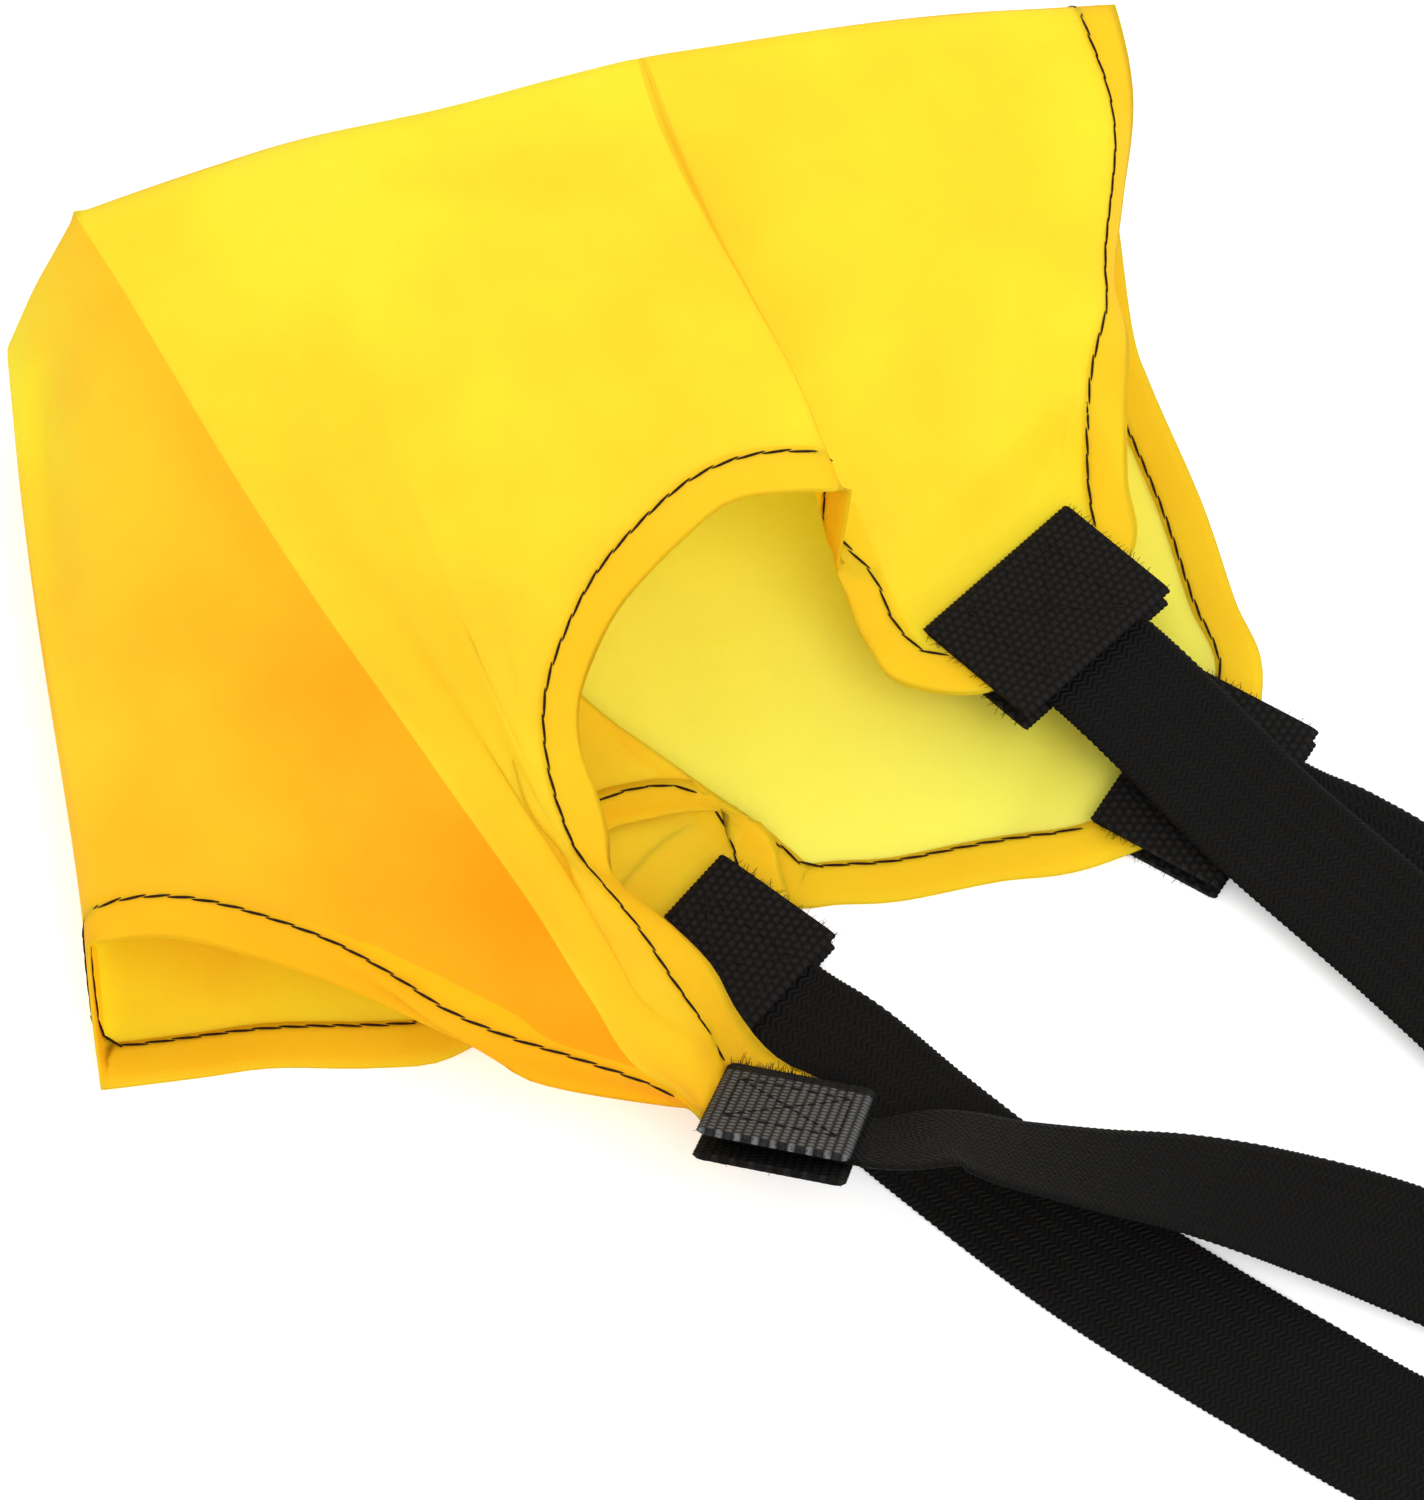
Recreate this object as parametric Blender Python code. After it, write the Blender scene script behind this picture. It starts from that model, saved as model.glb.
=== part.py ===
# Swim parachute: a hemmed square of coated cloth lying half open, four webbing risers,
# a tow strap folded into a hank, and a waist belt with a side-release buckle.
import math

import bpy
import bmesh
import numpy as np
from mathutils import Matrix, Vector

MM = 0.001

# Cloth
CHUTE_SIDE = 0.360  # cut size, corner to corner
CLOTH_THICKNESS = 0.0008
DRAPE = CHUTE_SIDE / 360.0  # one drape unit is a millimetre at the 360 mm cut
PANEL_STEPS = 9
WALL_STEPS = 2

# Webbing
STRAP_WIDTH = 0.025
STRAP_THICKNESS = 0.0013
LAYER_GAP = 0.0003
OWN_GAP = 0.0005  # between two layers of one and the same strap
PATCH_ACROSS = STRAP_WIDTH * 1.46
PATCH_ALONG = STRAP_WIDTH * 1.02  # a patch is a piece of the same webbing, laid crosswise
STRAP_INSIDE = PATCH_ALONG * 0.36  # how far a riser reaches in from its patches' middle
STRAP_OUT = PATCH_ALONG * 0.5 + 0.002
FLAT_MARGIN = 0.018
FLAT_FADE = 0.024

# Junction, tow strap and belt
JUNCTION_PLACE = (246, -104)  # in drape units, where the four risers are sewn together
JUNCTION_LENGTH = 0.034
HANK_PITCH = 0.0024
TOW_RUNS = 7
TOW_RUN = 0.140
TOW_LEAD = 0.026
TOW_SEWN = 0.022
BELT_RUNS = 7
BELT_RUN = 0.140
BELT_PASS = 0.040  # from the tow strap's loop to the belt's hank
SOCKET_LEAD = 0.070
PLUG_LEAD = 0.085
TURNED_END = 0.032
SLOPE = 0.010
TURN_STEPS = 6
FOLD_STEPS = 4
TIE_WIDTH = 0.016
TIE_THICKNESS = 0.0014
TIE_SHARE = 0.6
FIT = 0.0005

# Buckle and keeper
KEEPER_LENGTH = 0.008
KEEPER_WALL = 0.0018
KEEPER_PLACE = 0.024
BUCKLE_WIDTH = 0.036
BUCKLE_HEIGHT = 0.0090
BUCKLE_WALL = 0.0017
BAR_RADIUS = 0.0015
SLOT_LENGTH = 0.0034
ARM_WIDTH = 0.0045
SOCKET_LENGTH = 0.030
WINDOW_START = 0.009
WINDOW_LENGTH = 0.012
PLUG_LENGTH = 0.012
PRONG_LENGTH = 0.024
PRONG_WIDTH = 0.0040
PRONG_HEIGHT = 0.0046
PRONG_INSET = 0.0030
BARB_WIDTH = 0.0030
BARB_LENGTH = 0.009
GUIDE_WIDTH = 0.0050
CORNER_ROUND = 0.0014

LAYER = STRAP_THICKNESS + LAYER_GAP
OWN_LAYER = STRAP_THICKNESS + OWN_GAP

# The lying cloth's edges, creases and outline, in drape units from the floor under corner C
LIP_LEFT = [(-104, -9, 30), (-107, 11, 33), (-115, 48, 34), (-121, 80, 32), (-126, 113, 28)]
BACK_LEFT = [(-126, 113, 28), (-120, 119, 40), (-113, 127, 50)]
RIDGE_MIDDLE = [(-113, 127, 50), (-82, 139, 53), (-50, 148, 54), (-13, 160, 52)]
RIDGE_RIGHT = [(-13, 160, 52), (16, 167, 50), (45, 175, 45), (74, 182, 38)]
CREASE_D = [(-113, 127, 50), (-97, 97, 54), (-79, 64, 55), (-62, 37, 53), (-46, 14, 49),
            (-30, -8, 43), (-20, -23, 38), (-9, -36, 33)]
HEM_CD_FRONT = [(-104, -9, 30), (-88, -11, 36), (-63, -20, 38), (-38, -30, 33), (-25, -35, 29)]
HEM_DA_LEFT = [(8, -19, 13), (4, -15, 15), (0, -7, 18), (-8, 0, 22), (-17, 6, 26),
               (-19, 20, 30), (-23, 30, 34), (-22, 38, 36), (-17, 49, 39), (-11, 59, 42),
               (-4, 68, 44), (13, 70, 45), (24, 72, 44)]
PLEAT_TOP = [(-13, 160, 52), (-9, 144, 53), (-2, 126, 54), (8, 105, 54), (15, 92, 52), (24, 72, 44)]
PLEAT_UNDER = [(-13, 160, 52), (-6, 141, 48), (2, 122, 43), (11, 101, 37), (22, 69, 22)]
HEM_DA_RIGHT = [(22, 69, 22), (25, 63, 19), (28, 57, 16), (33, 51, 14), (48, 49, 14)]
HEM_AB_FRONT = [(74, 182, 38), (77, 164, 40), (75, 147, 38), (73, 131, 34), (75, 120, 30),
                (74, 102, 23), (74, 91, 19), (75, 79, 16)]
HEM_AB_REAR = [(73, 192, 0), (76, 164, 0), (78, 136, 0), (81, 123, 0), (89, 98, 0),
               (94, 77, 0), (98, 61, 1)]
HEM_BC = [(24, 13, 0), (33, 15, 0), (50, 19, 0), (70, 22, 1)]
HEM_CD_REAR = [(-104, -21, 0), (-87, -20, 0), (-70, -18, 0), (-53, -17, 0), (-30, -17, 1)]
CREASE_C = [(-104, 143, 0), (-62, 104, 2), (-27, 65, 6), (-22, 53, 6), (-5, 38, 7), (2, 32, 7),
            (9, 25, 6)]
FLOOR_LEFT = [(-104, -21, 0), (-108, 6, 0), (-117, 48, 0), (-123, 80, 0), (-127, 116, 0)]
FLOOR_CORNER = [(-127, 116, 0), (-119, 132, 0), (-104, 143, 0)]
FLOOR_MIDDLE = [(-104, 143, 0), (-80, 152, 0), (-50, 160, 0), (-13, 171, 0)]
FLOOR_RIGHT = [(-13, 171, 0), (16, 178, 0), (45, 186, 0), (73, 192, 0)]
WALL_BULGE = 7

# Corners: middle of the patches, heading of the strap and its roll about that heading
CORNER_A = {"middle": (59, 65, 15), "heading": -45, "roll": 0, "outside": 1}
CORNER_B = {"middle": (86.5, 38, 0), "heading": -32, "roll": 0, "outside": -1}
CORNER_C = {"middle": (0, 0, 0), "heading": -39, "roll": 0, "outside": -1}
CORNER_D = {"middle": (12.3, -36, 20), "heading": -12, "roll": 46, "outside": 1}
TIP_REACH = 0.3  # the cloth's point lies this share of the patch past its middle

# Riser routes beyond the patches, in drape units: x, y, height in layers, roll in degrees
ROUTE_A = [(82, 42, 6.4, 0), (97, 26, 4.6, 0), (120, 3, 3.6, 0), (150, -30, 3, 0),
           (182, -66, 3, 0), (208, -90, 3, 0)]
ROUTE_B = [(110, 25, 1.0, 0), (124, 15, 0.7, 0), (152, -12, 1.4, 0), (180, -46, 2, 0),
           (206, -81, 2, 0)]
ROUTE_C = [(22, -16.4, 1.0, 0), (38.4, -30.9, 0.0, 0), (65, -53.4, 0, 0), (96, -74.8, 0, 0),
           (120, -89, 0, 0), (160, -103, 0, 0), (200, -106, 0, 0)]
ROUTE_D = [(39.5, -37.8, 9.3, 42), (52.3, -39.4, 7.4, 37), (66.4, -41, 5.8, 30),
           (81, -42.4, 4.3, 22), (98, -46, 2.7, 13), (117, -52.6, 1.8, 5), (150, -67.5, 1.2, 0),
           (182, -85, 1, 0), (210, -98.5, 1, 0)]
ROUTE_SMOOTH = 3

# Places that follow from the sizes
JUNCTION_X = JUNCTION_PLACE[0] * DRAPE
JUNCTION_Y = JUNCTION_PLACE[1] * DRAPE
STACK_START = JUNCTION_X - JUNCTION_LENGTH / 2
STACK_END = JUNCTION_X + JUNCTION_LENGTH / 2
HANK_BASE = TIE_THICKNESS + LAYER_GAP + STRAP_THICKNESS / 2
TOW_START = STACK_END + TOW_LEAD
TOW_END = TOW_START + TOW_RUN
BELT_X = TOW_END + SLOPE + TOW_SEWN + STRAP_WIDTH / 2 + 2 * FIT
BELT_START = JUNCTION_Y + BELT_PASS
SOCKET_BAR_Y = JUNCTION_Y - SOCKET_LEAD
PLUG_BAR_Y = BELT_START + BELT_RUN + PLUG_LEAD
PLUG_FRONT = PLUG_BAR_Y + BAR_RADIUS + SLOT_LENGTH + PLUG_LENGTH
LATCH_X = BUCKLE_WIDTH / 2 - PRONG_INSET - PRONG_WIDTH / 2


def clear_scene():
    for ob in list(bpy.data.objects):
        bpy.data.objects.remove(ob, do_unlink=True)


def material(name, colour, roughness):
    mat = bpy.data.materials.new(name)
    mat.use_nodes = True
    shader = mat.node_tree.nodes["Principled BSDF"]
    shader.inputs["Base Color"].default_value = (*colour, 1)
    shader.inputs["Roughness"].default_value = roughness
    return mat


def add_object(name, bm, mat, smooth=False):
    bmesh.ops.recalc_face_normals(bm, faces=bm.faces)
    mesh = bpy.data.meshes.new(name)
    bm.to_mesh(mesh)
    bm.free()
    mesh.materials.append(mat)
    if smooth:
        mesh.shade_smooth()
    ob = bpy.data.objects.new(name, mesh)
    bpy.context.scene.collection.objects.link(ob)
    return ob


def curve_point(points, t):
    """A point on a smooth curve through the points, t counted in spans."""
    last = len(points) - 1
    i = min(int(t), last - 1)
    f = t - i
    p1, p2 = points[i], points[i + 1]
    p0 = points[i - 1] if i > 0 else p1 * 2 - p2
    p3 = points[i + 2] if i + 2 <= last else p2 * 2 - p1
    a = (p2 - p0) * 0.5
    b = (p3 - p1) * 0.5
    return (
        p1 * (2 * f**3 - 3 * f**2 + 1)
        + p2 * (3 * f**2 - 2 * f**3)
        + a * (f**3 - 2 * f**2 + f)
        + b * (f**3 - f**2)
    )


def evenly(points, count):
    """count + 1 points at even distances along the smooth curve."""
    fine_steps = 12
    spans = (len(points) - 1) * fine_steps
    fine = [curve_point(points, k / fine_steps) for k in range(spans + 1)]
    lengths = [0.0]
    for a, b in zip(fine, fine[1:]):
        lengths.append(lengths[-1] + (b - a).length)
    result = []
    at = 0
    for k in range(count + 1):
        goal = lengths[-1] * k / count
        while at < spans - 1 and lengths[at + 1] < goal:
            at += 1
        step = max(lengths[at + 1] - lengths[at], 1e-9)
        result.append(fine[at].lerp(fine[at + 1], (goal - lengths[at]) / step))
    return result


def corner_frame(corner):
    """Middle of the cloth between the patches, and the directions along, across and out."""
    heading = math.radians(corner["heading"])
    roll = math.radians(corner["roll"])
    along = Vector((math.cos(heading), math.sin(heading), 0))
    level = Vector((math.sin(heading), -math.cos(heading), 0))
    up = Vector((0, 0, 1))
    across = level * math.cos(roll) + up * math.sin(roll)
    out = (up * math.cos(roll) - level * math.sin(roll)) * corner["outside"]
    x, y, z = corner["middle"]
    seat = LAYER + CLOTH_THICKNESS / 2 if corner["outside"] < 0 else z * DRAPE
    middle = Vector((x * DRAPE, y * DRAPE, seat))
    return middle, along, across, out


def cloth_points(rows):
    """Drape units to metres; height 0 is cloth that lies on the floor."""
    return [Vector((x * DRAPE, y * DRAPE, z * DRAPE + CLOTH_THICKNESS / 2)) for x, y, z in rows]


def corner_tip(corner):
    middle, along, _, _ = corner_frame(corner)
    return middle + along * PATCH_ALONG * TIP_REACH


def coons(bottom, top, left, right):
    """A grid of points between four edges: bottom and top run left to right."""
    across = len(bottom) - 1
    up = len(left) - 1
    grid = []
    for j in range(up + 1):
        v = j / up
        row = []
        for i in range(across + 1):
            u = i / across
            ruled_v = bottom[i].lerp(top[i], v)
            ruled_u = left[j].lerp(right[j], u)
            corners = bottom[0].lerp(bottom[-1], u).lerp(top[0].lerp(top[-1], u), v)
            row.append(ruled_v + ruled_u - corners)
        grid.append(row)
    return grid


def settle(grid, crease_on_right):
    """Away from the crease on one side the cloth soon lies on the floor."""
    last = len(grid[0]) - 1
    floor = CLOTH_THICKNESS / 2
    for row in grid[1:-1]:
        for i in range(1, last):
            steps = last - i if crease_on_right else i
            share = max(0.0, 1 - steps / PANEL_STEPS) ** 4
            row[i].z = floor + (row[i].z - floor) * share
    return grid


def wall_grid(floor, crest):
    """The turned side of the cloth, which bulges a little between the floor and the crest."""
    grid = []
    for j in range(WALL_STEPS + 1):
        v = j / WALL_STEPS
        row = []
        for i, (low, high) in enumerate(zip(floor, crest)):
            before = floor[max(i - 1, 0)]
            after = floor[min(i + 1, len(floor) - 1)]
            run = (after - before).normalized()
            outward = Vector((-run.y, run.x, 0))
            bulge = outward * (WALL_BULGE * DRAPE * math.sin(math.pi * v))
            row.append(low.lerp(high, v) + bulge)
        grid.append(row)
    return grid


def press_flat(point, frames):
    """Near a corner the cloth lies flat between its patches."""
    for middle, along, across, out in frames:
        offset = point - middle
        reach = max(
            abs(offset.dot(along)) - PATCH_ALONG / 2,
            abs(offset.dot(across)) - PATCH_ACROSS / 2,
        )
        away = (reach - FLAT_MARGIN) / FLAT_FADE
        share = 1 - min(max(away, 0.0), 1.0)
        height = offset.dot(out)
        if abs(height) < FLAT_FADE:
            point = point - out * (height * share * share * (3 - 2 * share))
    return point


def make_canopy(mat):
    n = PANEL_STEPS
    tip = {name: corner_tip(c) for name, c in zip("ABCD", (CORNER_A, CORNER_B, CORNER_C, CORNER_D))}
    lip_left = evenly(cloth_points(LIP_LEFT), n)
    back_left = evenly(cloth_points(BACK_LEFT), n)
    ridge_middle = evenly(cloth_points(RIDGE_MIDDLE), n)
    ridge_right = evenly(cloth_points(RIDGE_RIGHT), n)
    crease_d = evenly(cloth_points(CREASE_D) + [tip["D"]], n)[::-1]
    hem_cd_front = evenly(cloth_points(HEM_CD_FRONT) + [tip["D"]], n)
    hem_da_left = evenly([tip["D"]] + cloth_points(HEM_DA_LEFT), n)
    pleat_top = evenly(cloth_points(PLEAT_TOP), n)[::-1]
    pleat_under = evenly(cloth_points(PLEAT_UNDER), n)[::-1]
    hem_da_right = evenly(cloth_points(HEM_DA_RIGHT) + [tip["A"]], n)
    hem_ab_front = evenly(cloth_points(HEM_AB_FRONT) + [tip["A"]], n)[::-1]
    hem_ab_rear = evenly(cloth_points(HEM_AB_REAR) + [tip["B"]], n)[::-1]
    hem_cd_rear = evenly(cloth_points(HEM_CD_REAR) + [tip["C"]], n)
    crease_c = evenly(cloth_points(CREASE_C) + [tip["C"]], n)[::-1]
    floor_left = evenly(cloth_points(FLOOR_LEFT), n)
    floor_corner = evenly(cloth_points(FLOOR_CORNER), n)
    floor_middle = evenly(cloth_points(FLOOR_MIDDLE), n)
    floor_right = evenly(cloth_points(FLOOR_RIGHT), n)

    pleat = [[a.lerp(b, k / 2) for k in range(3)] for a, b in zip(pleat_top, pleat_under)]
    floor = floor_left + floor_corner[1:] + floor_middle[1:] + floor_right[1:]
    crest = lip_left + back_left[1:] + ridge_middle[1:] + ridge_right[1:]
    rear_top = floor_middle + floor_right[1:]
    hem_bc = evenly([tip["C"]] + cloth_points(HEM_BC) + [tip["B"]], 2 * n)
    rear_left = settle(coons(hem_cd_rear, floor_corner, floor_left, crease_c), True)
    back = settle(coons(hem_bc, rear_top, crease_c, hem_ab_rear), False)
    panels = [
        (coons(hem_cd_front, back_left, lip_left, crease_d), [CORNER_D]),
        (coons(hem_da_left, ridge_middle, crease_d, pleat_top), [CORNER_D]),
        (pleat, [CORNER_A]),
        (coons(hem_da_right, ridge_right, pleat_under, hem_ab_front), [CORNER_A]),
        (wall_grid(floor, crest), []),
        (rear_left, [CORNER_C]),
        (back, [CORNER_B, CORNER_C]),
    ]
    bm = bmesh.new()
    for grid, corners in panels:
        frames = [corner_frame(c) for c in corners]
        rows = [[bm.verts.new(press_flat(p, frames)) for p in row] for row in grid]
        for low, high in zip(rows, rows[1:]):
            for i in range(len(low) - 1):
                bm.faces.new((low[i], low[i + 1], high[i + 1], high[i]))
    bmesh.ops.remove_doubles(bm, verts=bm.verts, dist=MM * 0.05)
    ob = add_object("canopy", bm, mat, smooth=True)
    solid = ob.modifiers.new("thickness", "SOLIDIFY")
    solid.thickness = CLOTH_THICKNESS
    solid.offset = 0
    return ob


def band(name, path, across, mat, width=STRAP_WIDTH, thickness=STRAP_THICKNESS):
    """Flat webbing along a path; across gives the direction of its width at each point."""
    bm = bmesh.new()
    rings = []
    for i, point in enumerate(path):
        before = path[max(i - 1, 0)]
        after = path[min(i + 1, len(path) - 1)]
        run = (after - before).normalized()
        side = (across[i] - run * across[i].dot(run)).normalized()
        out = run.cross(side)
        half = side * (width / 2)
        lift = out * (thickness / 2)
        ring = [point - half - lift, point + half - lift, point + half + lift, point - half + lift]
        rings.append([bm.verts.new(p) for p in ring])
    for a, b in zip(rings, rings[1:]):
        for k in range(4):
            bm.faces.new((a[k], a[(k + 1) % 4], b[(k + 1) % 4], b[k]))
    bm.faces.new(rings[0][::-1])
    bm.faces.new(rings[-1])
    return add_object(name, bm, mat)


def make_patches(mat):
    for letter, corner in zip("abcd", (CORNER_A, CORNER_B, CORNER_C, CORNER_D)):
        middle, along, across, out = corner_frame(corner)
        seat = CLOTH_THICKNESS / 2 + LAYER_GAP + STRAP_THICKNESS / 2
        places = {"outer": seat, "inner": -seat - LAYER}
        for side, height in places.items():
            start = middle + out * height - along * (PATCH_ALONG / 2)
            path = [start, start + along * PATCH_ALONG]
            name = f"corner_patch_{side}_{letter}"
            band(name, path, [across, across], mat, width=PATCH_ACROSS)


def layer_height(layers):
    return STRAP_THICKNESS / 2 + layers * LAYER


def make_riser(letter, corner, route, level, mat):
    """From between the patches of its corner to its place in the sewn stack."""
    middle, along, across, out = corner_frame(corner)
    seat = CLOTH_THICKNESS / 2 + LAYER_GAP + STRAP_THICKNESS / 2
    root = middle - out * seat
    points = [root - along * STRAP_INSIDE, root + along * STRAP_OUT]
    rolls = [corner["roll"], corner["roll"]]
    for x, y, layers, roll in route:
        points.append(Vector((x * DRAPE, y * DRAPE, layer_height(layers))))
        rolls.append(roll)
    for x in (STACK_START, STACK_END):
        points.append(Vector((x, JUNCTION_Y, layer_height(level))))
        rolls.append(0)
    spans = len(points) - 1
    path = []
    sides = []
    for k in range(spans * ROUTE_SMOOTH + 1):
        t = k / ROUTE_SMOOTH
        if 0 < t < 1 or spans - 1 < t < spans:
            continue
        i = min(int(t), spans - 1)
        straight = i in (0, spans - 1)
        path.append(points[i].lerp(points[i + 1], t - i) if straight else curve_point(points, t))
        roll = math.radians(rolls[i] + (rolls[i + 1] - rolls[i]) * (t - i))
        sides.append(roll)
    across_list = []
    for i, roll in enumerate(sides):
        run = (path[min(i + 1, len(path) - 1)] - path[max(i - 1, 0)]).normalized()
        level_side = Vector((run.y, -run.x, 0)).normalized()
        across_list.append(level_side * math.cos(roll) + Vector((0, 0, math.sin(roll))))
    across_list[0] = across
    across_list[1] = across
    return band(f"riser_strap_{letter}", path, across_list, mat)


def least_gap(path):
    """Least clearance between parts of one band that are well apart along it."""
    points = []
    along = []
    travelled = 0.0
    for a, b in zip(path, path[1:]):
        length = (b - a).length
        pieces = max(1, math.ceil(length / MM))
        for k in range(pieces):
            points.append(a.lerp(b, k / pieces))
            along.append(travelled + length * k / pieces)
        travelled += length
    place = np.array(points)
    along = np.array(along)
    apart = np.linalg.norm(place[:, None] - place[None], axis=2)
    far = np.abs(along[:, None] - along[None]) > 10 * STRAP_THICKNESS
    return travelled, apart[far].min() - STRAP_THICKNESS


def turn(centre, radius, heading, rising, steps):
    """Points of a half turn of webbing about a level axis, from below up or from above down."""
    points = []
    for m in range(1, steps):
        angle = math.pi * m / steps
        height = -math.cos(angle) if rising else math.cos(angle)
        points.append(centre + heading * (radius * math.sin(angle)) + Vector((0, 0, radius * height)))
    return points


def zigzag(start, heading, runs, run_length, rising):
    """Runs of webbing folded back and forth, each one pitch above or below the last."""
    radius = HANK_PITCH / 2
    path = []
    near = start + heading * radius
    far = start + heading * (run_length - radius)
    for k in range(runs):
        lift = Vector((0, 0, HANK_PITCH * k * (1 if rising else -1)))
        ends = (near, far) if k % 2 == 0 else (far, near)
        way = heading if k % 2 == 0 else -heading
        path += [ends[0] + lift, ends[1] + lift]
        if k < runs - 1:
            middle = ends[1] + lift + Vector((0, 0, radius if rising else -radius))
            path += turn(middle, radius, way, rising, FOLD_STEPS)
    return path


def at_height(x, y, z):
    return Vector((x, y, z))


def make_tow_strap(mat):
    """Sewn on top of the risers, folded into a hank, and sewn round the belt at its end."""
    forward = Vector((1, 0, 0))
    low = layer_height(0)
    path = [
        at_height(STACK_START, JUNCTION_Y, layer_height(4)),
        at_height(STACK_END, JUNCTION_Y, layer_height(4)),
    ]
    top = HANK_BASE + (TOW_RUNS - 1) * HANK_PITCH
    path += zigzag(at_height(TOW_START, JUNCTION_Y, top), forward, TOW_RUNS, TOW_RUN, False)
    loop_radius = LAYER
    loop_half = STRAP_WIDTH / 2 + FIT
    path.append(at_height(TOW_END + SLOPE / 2, JUNCTION_Y, low))
    turn_middle = at_height(BELT_X + loop_half, JUNCTION_Y, low + loop_radius)
    path.append(turn_middle - Vector((0, 0, loop_radius)))
    path += turn(turn_middle, loop_radius, forward, True, TURN_STEPS)
    path.append(turn_middle + Vector((0, 0, loop_radius)))
    path.append(at_height(BELT_X - loop_half, JUNCTION_Y, low + 2 * loop_radius))
    sewn_start = BELT_X - loop_half - SLOPE / 2
    path.append(at_height(sewn_start, JUNCTION_Y, low + OWN_LAYER))
    path.append(at_height(sewn_start - TOW_SEWN, JUNCTION_Y, low + OWN_LAYER))
    length, gap = least_gap(path)
    print(f"tow strap {length:.3f} m, least gap to itself {gap / MM:.2f} mm")
    return band("tow_strap", path, [Vector((0, 1, 0))] * len(path), mat)


def bar_turn(bar_y, heading, low):
    """The belt runs at the low height to a buckle bar, round it and back above itself."""
    radius = BAR_RADIUS + LAYER_GAP + STRAP_THICKNESS / 2
    way = Vector((0, heading, 0))
    bar = at_height(BELT_X, bar_y, BUCKLE_HEIGHT / 2)
    lower = bar - Vector((0, 0, radius))
    upper = bar + Vector((0, 0, radius))
    path = [
        at_height(BELT_X, bar_y - heading * TURNED_END, low),
        at_height(BELT_X, bar_y - heading * SLOPE, low),
        lower,
    ]
    path += turn(bar, radius, way, True, TURN_STEPS)
    path += [
        upper,
        at_height(BELT_X, bar_y - heading * SLOPE, low + OWN_LAYER),
        at_height(BELT_X, bar_y - heading * (TURNED_END + FIT), low + OWN_LAYER),
    ]
    return path


def make_belt(mat):
    """From the socket's bar through the tow strap's loop and a hank to the plug's bar."""
    path = bar_turn(SOCKET_BAR_Y, -1, layer_height(0))
    floor_y = SOCKET_BAR_Y + TURNED_END + SLOPE
    loop_edge = STRAP_WIDTH / 2 + FIT
    path += [
        at_height(BELT_X, floor_y, layer_height(0)),
        at_height(BELT_X, JUNCTION_Y - loop_edge - SLOPE / 2, layer_height(0)),
        at_height(BELT_X, JUNCTION_Y - loop_edge, layer_height(1)),
        at_height(BELT_X, JUNCTION_Y + loop_edge, layer_height(1)),
    ]
    forward = Vector((0, 1, 0))
    path += zigzag(at_height(BELT_X, BELT_START, HANK_BASE), forward, BELT_RUNS, BELT_RUN, True)
    over_keeper = KEEPER_WALL + LAYER_GAP + STRAP_THICKNESS / 2
    path += bar_turn(PLUG_BAR_Y, 1, over_keeper)[::-1]
    length, gap = least_gap(path)
    print(f"belt {length:.3f} m, least gap to itself {gap / MM:.2f} mm")
    return band("belt_webbing", path, [Vector((1, 0, 0))] * len(path), mat)


def rounded_outline(width, height, radius, steps=4):
    """Points of a rectangle with round corners, about its middle."""
    points = []
    for k, (sx, sy) in enumerate(((1, 1), (-1, 1), (-1, -1), (1, -1))):
        for m in range(steps + 1):
            angle = math.pi / 2 * (k + m / steps)
            x = sx * (width / 2 - radius) + radius * math.cos(angle)
            y = sy * (height / 2 - radius) + radius * math.sin(angle)
            points.append((x, y))
    return points


def flat_ring(name, middle, through, inner_width, inner_height, wall, length, mat):
    """A band closed round a stack of webbing that runs along the through direction."""
    side = Vector((through.y, through.x, 0))
    up = Vector((0, 0, 1))
    bm = bmesh.new()
    loops = []
    inner = (inner_width, inner_height, CORNER_ROUND * 0.5)
    outer = (inner_width + 2 * wall, inner_height + 2 * wall, CORNER_ROUND * 0.5 + wall)
    for end in (-length / 2, length / 2):
        for size in (inner, outer):
            ring = [middle + side * x + up * z + through * end for x, z in rounded_outline(*size)]
            loops.append([bm.verts.new(p) for p in ring])
    near_in, near_out, far_in, far_out = loops
    count = len(near_in)
    for a, b in ((near_in, near_out), (near_out, far_out), (far_out, far_in), (far_in, near_in)):
        for k in range(count):
            m = (k + 1) % count
            bm.faces.new((a[k], a[m], b[m], b[k]))
    return add_object(name, bm, mat)


def make_ties_and_keeper(elastic, plastic):
    for name, start, run, runs, along_x in (
        ("tow_tie", TOW_START, TOW_RUN, TOW_RUNS, True),
        ("belt_tie", BELT_START, BELT_RUN, BELT_RUNS, False),
    ):
        stack = (runs - 1) * HANK_PITCH + STRAP_THICKNESS
        inner_height = stack + 2 * LAYER_GAP
        z = TIE_THICKNESS + inner_height / 2
        at = start + run * TIE_SHARE
        middle = at_height(at, JUNCTION_Y, z) if along_x else at_height(BELT_X, at, z)
        through = Vector((1, 0, 0)) if along_x else Vector((0, 1, 0))
        inner_width = STRAP_WIDTH + 2 * FIT
        flat_ring(name, middle, through, inner_width, inner_height, TIE_THICKNESS, TIE_WIDTH, elastic)
    keeper_height = STRAP_THICKNESS + OWN_LAYER + 2 * LAYER_GAP
    keeper_z = KEEPER_WALL + keeper_height / 2
    middle = at_height(BELT_X, PLUG_BAR_Y - KEEPER_PLACE, keeper_z)
    flat_ring(
        "belt_keeper", middle, Vector((0, 1, 0)), STRAP_WIDTH + 2 * FIT, keeper_height,
        KEEPER_WALL, KEEPER_LENGTH, plastic,
    )


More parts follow.
